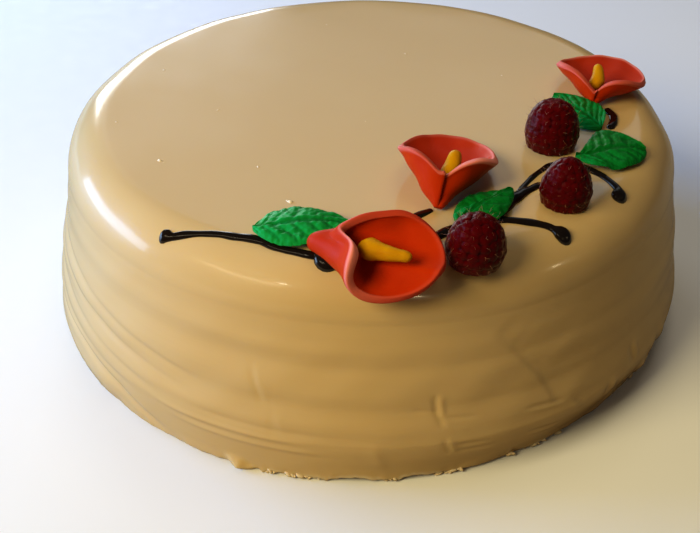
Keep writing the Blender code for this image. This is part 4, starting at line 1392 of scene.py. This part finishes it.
@dataclass
class Raspberry(Piece):
    """A raspberry that stands on its open end.

    Args:
        foot: Middle of its foot, x and y in mm.
        radius: Widest radius in mm.
        tall: Height in mm.
        taper: How pointed it is.
        lean: How far it leans outwards, in degrees.
        spacing: Distance between drupelets in mm.
        sizes: Least and greatest radius of a drupelet as a share of that.
        uneven: How unevenly they stand in their row.
        scatter: How far they lie off it, in mm.
        relief: How deep the creases between them are.
        tuck: How much narrower its foot is, and up to what share of its way up.
        hair: Least and greatest length of a hair, and its half width.
        curl: How far a hair bends as a share of its length.
        tufts: The hairs, once the skin is made.
    """

    foot: tuple[float, float]
    radius: float
    tall: float
    taper: float
    lean: float
    spacing: float = 3.0
    sizes: tuple[float, float] = (0.60, 0.70)
    uneven: float = 0.13
    scatter: float = 0.14
    relief: float = 0.60
    tuck: tuple[float, float] = (0.11, 0.22)
    hair: tuple[float, float, float] = (0.8, 2.1, 0.034)
    curl: float = 0.45
    columns: int = 170
    rows: int = 120
    seed: int = 1
    tufts: list = field(default_factory=list)

    def profile(self, share: np.ndarray) -> tuple[np.ndarray, np.ndarray]:
        """Return the radius and height of the berry's round form at shares of its way up."""
        swell = np.cos(math.pi / 2 * share ** (1.9 - self.taper)) ** (0.62 + self.taper * 0.6)
        foot = 1 - self.tuck[0] * (1 - smoothstep(0.0, self.tuck[1], share))
        return self.radius * swell * foot, self.tall * np.sin(math.pi / 2 * share ** 1.05)

    def centres(self, rng: np.random.Generator) -> np.ndarray:
        """Return the middles of the drupelets on the berry's round form, in mm."""
        fine = np.linspace(0, 0.999, 600)
        radius, height = self.profile(fine)
        arc = np.concatenate([[0], np.cumsum(np.hypot(np.diff(radius), np.diff(height)))])
        rows = max(5, round(arc[-1] / (self.spacing * 0.87)))
        places = []
        for row in range(rows):
            share = np.interp((row + 0.45) / rows * arc[-1], arc, fine)
            around, tall = self.profile(np.array(share))
            count = max(1, round(2 * math.pi * float(around) / self.spacing))
            start = rng.uniform(0, 2 * math.pi)
            for index in range(count):
                turn = start + 2 * math.pi * (index + rng.uniform(-self.uneven, self.uneven)) / count
                place = np.array([around * math.cos(turn), around * math.sin(turn), tall])
                places.append(place + rng.normal(0, self.scatter, 3))
        return np.array(places)

    def skin(self) -> Skin:
        rng = np.random.default_rng(200 + self.seed)
        centres = self.centres(rng)
        sizes = self.spacing * rng.uniform(*self.sizes, len(centres))
        shares = np.linspace(0, 0.997, self.rows) ** 0.92
        turns = np.arange(self.columns) / self.columns * 2 * math.pi
        radius, height = self.profile(shares)
        core = np.stack([radius[:, None] * np.cos(turns), radius[:, None] * np.sin(turns),
                         np.repeat(height[:, None], self.columns, 1)], -1)
        along = np.gradient(core, axis=0)
        across = np.roll(core, -1, axis=1) - np.roll(core, 1, axis=1)
        normal = unit(np.cross(across, along))
        bump = np.zeros(core.shape[:2])
        for centre, size in zip(centres, sizes):
            away = np.linalg.norm(core - centre, axis=-1) / size
            dome = np.sqrt(np.clip(1 - away ** 2, 0, 1))
            bump = np.maximum(bump, dome * size / (self.spacing * 0.65))
        fine = own_field(BERRY_GRAIN, self.seed).at(core)
        pushed = core + normal * ((bump - 1) * self.relief + fine)[..., None]
        skin = loft(pushed, start=(0, 0, 0.6), end=pushed[-1].mean(0) + np.array([0, 0, 0.05]))
        # Painted shade in the creases between the drupelets
        crease_shade = 1 - smoothstep(0.25, 0.75, bump)
        skin.masks["crease_shade"] = np.concatenate([crease_shade.reshape(-1), [1.0, 0.0]])
        skin.points = self.placed(skin.points)
        settled(skin, self.nodes[0])
        self.tufts = self.hairs(centres, rng)
        return skin

    def placed(self, points: np.ndarray) -> np.ndarray:
        """Return points of the upright berry in mm at its place on the cake, in metres."""
        place = Vector((*self.foot, 0.0)) * MM
        outwards = place.normalized()
        turned = np.array(Matrix.Rotation(math.radians(self.lean), 3, Vector((-outwards.y, outwards.x, 0))))
        return points @ turned.T * MM + np.array([place.x, place.y, CAKE_HEIGHT + GAP])

    def hairs(self, centres: np.ndarray, rng: np.random.Generator) -> list[Skin]:
        """Return the fine hairs, one or two on each drupelet."""
        skins = []
        heart = np.array([0, 0, self.tall * 0.35])
        shortest, longest, width = self.hair
        sides, rows = 4, 5
        for centre in centres:
            for _ in range(rng.integers(1, 3)):
                out = unit(centre - heart + rng.normal(0, 1.6, 3))
                bend = unit(np.cross(out, rng.normal(size=3)))
                length = rng.uniform(shortest, longest)
                section = circle(sides, unit(np.cross(out, bend)), bend)
                rings = []
                for share in np.linspace(0, 1, rows):
                    reach = out * length * share + bend * length * self.curl * share ** 2
                    rings.append(centre - out * 0.25 + reach + section * width * (1 - 0.6 * share))
                points = self.placed(np.array(rings).reshape(-1, 3))
                skins.append(tube(points.reshape(rows, sides, 3)))
        return skins

    def dress(self, materials: Materials) -> bpy.types.Material:
        return materials.make("raspberry", BERRY, (("crease_shade", BERRY_CREASE_SHADE, 0.8),))


@dataclass
class BerryHairs(Piece):
    """The fine hairs of all the raspberries."""

    berries: tuple[Raspberry, ...] = ()

    def skin(self) -> Skin:
        skin = join_skins([hair for berry in self.berries for hair in berry.tufts])
        skin.points[:, 2] = np.maximum(skin.points[:, 2], CAKE_HEIGHT - SHOULDER_DROP * 0.5)
        return skin

    def dress(self, materials: Materials) -> bpy.types.Material:
        return materials.make("raspberry_hair", HAIR)


CALLA_POSES = {
    "calla_1": Pose((-14.2, -88.7, 72.4), -29.0, 10.6, 28.9),
    "calla_2": Pose((19.7, -67.2, 71.8), 75.3, 40.6, 5.0),
    "calla_3": Pose((74.8, 0.4, 71.9), 66.3, 35.0, 5.7),
}
PETAL_POSES = {**CALLA_POSES, "calla_1": Pose((-16.2, -88.1, 72.8), -29.6, 10.6, 28.9)}
RED, YELLOW, GREEN, FRUIT = "red_fondant", "yellow_fondant", "green_fondant", "raspberry"


def spathe_of(name: str, **sizes: object) -> Calla:
    """Return a calla's red sheet."""
    return Calla(f"{name}_petal", RED, (f"{name}_spathe",), PETAL_POSES[name], **sizes)


def spadix_of(name: str, *sizes: tuple, seed: int) -> Spadix:
    """Return a calla's yellow finger."""
    return Spadix(f"{name}_finger", YELLOW, (f"{name}_spadix",), CALLA_POSES[name], *sizes, seed=seed)


def leaf_of(name: str, *sizes: object, **more: object) -> Leaf:
    """Return a leaf."""
    return Leaf(f"{name}_veined", GREEN, (name,), *sizes, **more)


def berry_of(name: str, *sizes: object, seed: int) -> Raspberry:
    """Return a raspberry."""
    return Raspberry(f"{name}_fruit", FRUIT, (name,), *sizes, seed=seed)


def all_pieces() -> list[Piece]:
    """Return every piece of the cake, in the order in which they are built."""
    berries = (
        berry_of("raspberry_1", (28.9, -90.0), 8.8, 14.6, 0.62, 7.0, seed=1),
        berry_of("raspberry_2", (57.5, -60.6), 8.2, 14.6, 0.78, 2.0, seed=2),
        berry_of("raspberry_3", (57.5, -26.2), 8.9, 15.4, 0.50, 0.0, seed=3),
    )
    return [
        GlazedBody("glazed_body", "caramel_glaze", ("cake",)),
        Specks("glaze_specks", "caramel_glaze", ("cake",)),
        Crumbs("glaze_crumbs", "caramel_glaze", ("cake",)),
        ChocolateStrokes("chocolate_strokes", "dark_chocolate", ("cake",)),
        spathe_of("calla_1", lengths=(37.9, 13.6), angles=(20.0, -3.0, -9.2), double=(1.2, 3.2),
                  triple=(-0.6, -1.6), notch=0.0, belly=2.6, tail=8.6, neck=40.0, seed=1,
                  overlap=0.0, step=0.0, lip=(0.40, math.radians(-150)), flare=(2.4, 0.55), shank=0.9,
                  pale=0.08),
        spathe_of("calla_2", lengths=(35.4, 9.4), angles=(35.7, 4.3, -2.4), double=(1.4, 0.2),
                  triple=(2.1, 0.3), notch=-1.6, belly=1.0, tail=0.0, neck=7.0, seed=2,
                  lip=(0.20, math.radians(-100))),
        spathe_of("calla_3", lengths=(33.1, 4.6), angles=(47.0, -8.0, -4.2), double=(1.5, 0.6),
                  triple=(1.4, -0.5), notch=1.5, belly=1.0, tail=0.0, neck=7.0, seed=3),
        spadix_of("calla_1", (14.8, 28.4), (-1.2, 0.0), (0.0, 0.0), (3.1, 1.5), seed=1),
        spadix_of("calla_2", (8.6, 17.2), (1.2, 0.6), (0.0, -2.0), (2.9, 2.2), seed=2),
        spadix_of("calla_3", (6.2, 13.6), (0.1, 0.0), (1.0, 2.2), (2.7, 1.6), seed=3),
        leaf_of("leaf_1", (-33.2, -81.0), (-4.8, -76.6), (11.0, 9.6), 2.6, (0.6, 0.3),
                finish=LEAF_PAINTED_LIGHT, seed=1),
        leaf_of("leaf_2", (24.4, -77.2), (42.2, -58.4), (8.4, 6.6), 1.6, (0.5, 0.4),
                outlines=((1.15, 0.62), (0.86, 0.72)), veins=4.0, seed=2),
        leaf_of("leaf_3", (75.2, -16.8), (61.6, 4.8), (7.0, 7.9), 1.4, (0.0, 2.2),
                outlines=((0.86, 0.72), (1.0, 0.66)), veins=6.0, slant=0.49, seed=3),
        leaf_of("leaf_4", (63.6, -37.4), (87.4, -30.2), (13.0, 9.4), 2.0, (1.8, 0.6),
                outlines=((1.50, 0.86), (0.76, 0.62)), seed=4),
        *berries,
        BerryHairs("raspberry_hairs", FRUIT, ("raspberry_1", "raspberry_2", "raspberry_3"), berries),
    ]


@dataclass(frozen=True)
class Lamp:
    """A soft rectangular light that faces the cake.

    Args:
        name: Name of the light.
        azimuth: Where it stands, in degrees from +X.
        elevation: How high it stands, in degrees.
        distance: Distance from the cake in metres.
        size: Width and height in metres.
        power: Power in watts.
        colour: Its colour.
        mirrored: Whether glossy surfaces mirror it.
    """

    name: str
    azimuth: float
    elevation: float
    distance: float
    size: tuple[float, float]
    power: float
    colour: tuple[float, float, float]
    mirrored: bool = True

    def build(self, target: Vector) -> None:
        """Add the light to the scene."""
        azimuth, elevation = math.radians(self.azimuth), math.radians(self.elevation)
        light = bpy.data.lights.new(self.name, "AREA")
        light.shape = "RECTANGLE"
        light.size, light.size_y = self.size
        light.energy = self.power
        light.color = self.colour
        made = bpy.data.objects.new(self.name, light)
        away = Vector((math.cos(elevation) * math.cos(azimuth), math.cos(elevation) * math.sin(azimuth),
                       math.sin(elevation)))
        made.location = target + away * self.distance
        made.rotation_mode = "QUATERNION"
        made.rotation_quaternion = away.to_track_quat("Z", "Y")
        made.visible_glossy = self.mirrored
        bpy.context.scene.collection.objects.link(made)


LAMPS = (
    Lamp("cool_light", 163, 9, 1.0, (0.8, 0.5), 28.0, (0.10, 0.36, 1.0), mirrored=False),
    Lamp("warm_light", 221, 37, 1.0, (0.5, 0.5), 9.3, (1.0, 0.83, 0.43), mirrored=False),
    Lamp("ceiling", 60, 76, 1.2, (0.6, 0.6), 2.8, (1.0, 0.86, 0.62), mirrored=False),
    Lamp("window", 110, 12.5, 1.5, (0.64, 0.44), 5.5, (0.88, 0.95, 1.0)),
    Lamp("left_pane", 171, 8, 1.5, (1.15, 0.40), 9.0, (0.44, 0.66, 1.0)),
    Lamp("warm_pane", 222, 33, 1.2, (0.50, 0.08), 0.45, (1.0, 0.80, 0.50)),
    Lamp("back_wall", 90, 31, 2.0, (1.7, 0.6), 1.6, (0.93, 0.97, 1.0)),
    Lamp("left_bulb", 236, 38, 1.5, (0.09, 0.03), 0.30, (1.0, 0.86, 0.60)),
    Lamp("front_bulb", 288, 26, 1.5, (0.10, 0.03), 0.30, (1.0, 0.80, 0.46)),
    Lamp("right_bulb", 338, 22, 1.5, (0.10, 0.04), 0.30, (1.0, 0.80, 0.46)),
)
WORLD_COLOUR = (0.90, 0.92, 0.94)
WORLD_STRENGTH = 0.04
FLOOR_BOUNCE = (0.28, 0.205, 0.095)
FLOOR_MIRRORED = (0.42, 0.34, 0.22)
FLOOR_HALF = 4.0


@dataclass(frozen=True)
class Viewer:
    """The camera, fitted to the picture at its own size.

    Args:
        width: Width of the picture in pixels.
        height: Its height.
        focal: Focal length in pixels.
        centre: Where the optical axis meets the picture, in pixels.
        tilt: How far the camera looks down, in degrees.
        roll: How far it is turned about its axis.
        distance: Distance from the origin in metres.
        sensor: Width of the sensor in mm.
        clip: Nearest and furthest distance that it sees.
    """

    width: int = 700
    height: int = 533
    focal: float = 1163.047
    centre: tuple[float, float] = (369.324, 273.313)
    tilt: float = 35.527
    roll: float = 0.872
    distance: float = 0.435494
    sensor: float = 36.0
    clip: tuple[float, float] = (0.01, 50.0)

    def build(self) -> None:
        """Add the camera to the scene."""
        data = bpy.data.cameras.new("viewer")
        data.sensor_width = self.sensor
        data.lens = self.focal / self.width * self.sensor
        data.shift_x = (self.width / 2 - self.centre[0]) / self.width
        data.shift_y = (self.centre[1] - self.height / 2) / self.width
        data.clip_start, data.clip_end = self.clip
        tilt, roll = math.radians(self.tilt), math.radians(self.roll)
        ahead = Vector((0, math.cos(tilt), -math.sin(tilt)))
        right = Vector((1, 0, 0))
        upward = right.cross(ahead)
        across = right * math.cos(roll) + upward * math.sin(roll)
        above = upward * math.cos(roll) - right * math.sin(roll)
        turned = Matrix((across, above, -ahead)).transposed()
        camera = bpy.data.objects.new("viewer", data)
        camera.matrix_world = Matrix.Translation(-ahead * self.distance) @ turned.to_4x4()
        bpy.context.scene.collection.objects.link(camera)
        bpy.context.scene.camera = camera


def dim_bounce(material: bpy.types.Material) -> None:
    """Let a material throw back less and warmer light than it shows to the camera."""
    shader = Shader(material.node_tree)
    surface = material.node_tree.nodes["Principled BSDF"]
    seen = surface.inputs["Base Color"].links[0].from_socket
    rays = shader.add("ShaderNodeLightPath")
    bounced = shader.mix(rays.outputs["Is Diffuse Ray"], seen, FLOOR_BOUNCE)
    mirrored = shader.mix(rays.outputs["Is Glossy Ray"], bounced, FLOOR_MIRRORED)
    shader.join(mirrored, surface.inputs["Base Color"])


def build_stage(materials: Materials) -> None:
    """Add the pale floor, the lights and the surroundings."""
    corners = np.array([(-1, -1, 0), (1, -1, 0), (1, 1, 0), (-1, 1, 0)], float) * FLOOR_HALF
    floor = add_mesh("floor", Skin(corners, [(0, 1, 2, 3)]), materials.make("floor", FLOOR))
    dim_bounce(floor.active_material)
    for lamp in LAMPS:
        lamp.build(Vector((0, 0, CAKE_HEIGHT / 2)))
    world = bpy.data.worlds.new("surroundings")
    world.use_nodes = True
    sky = world.node_tree.nodes["Background"]
    sky.inputs["Color"].default_value = (*WORLD_COLOUR, 1.0)
    sky.inputs["Strength"].default_value = WORLD_STRENGTH
    bpy.context.scene.world = world
    bpy.context.scene.view_settings.view_transform = "Standard"


def main() -> None:
    """Build and dress the cake, then its stage."""
    logging.basicConfig(level=logging.INFO, format="%(name)s: %(message)s")
    materials = Materials()
    for piece in all_pieces():
        piece.build(materials)
    build_stage(materials)
    Viewer().build()


if __name__ == "__main__":
    main()
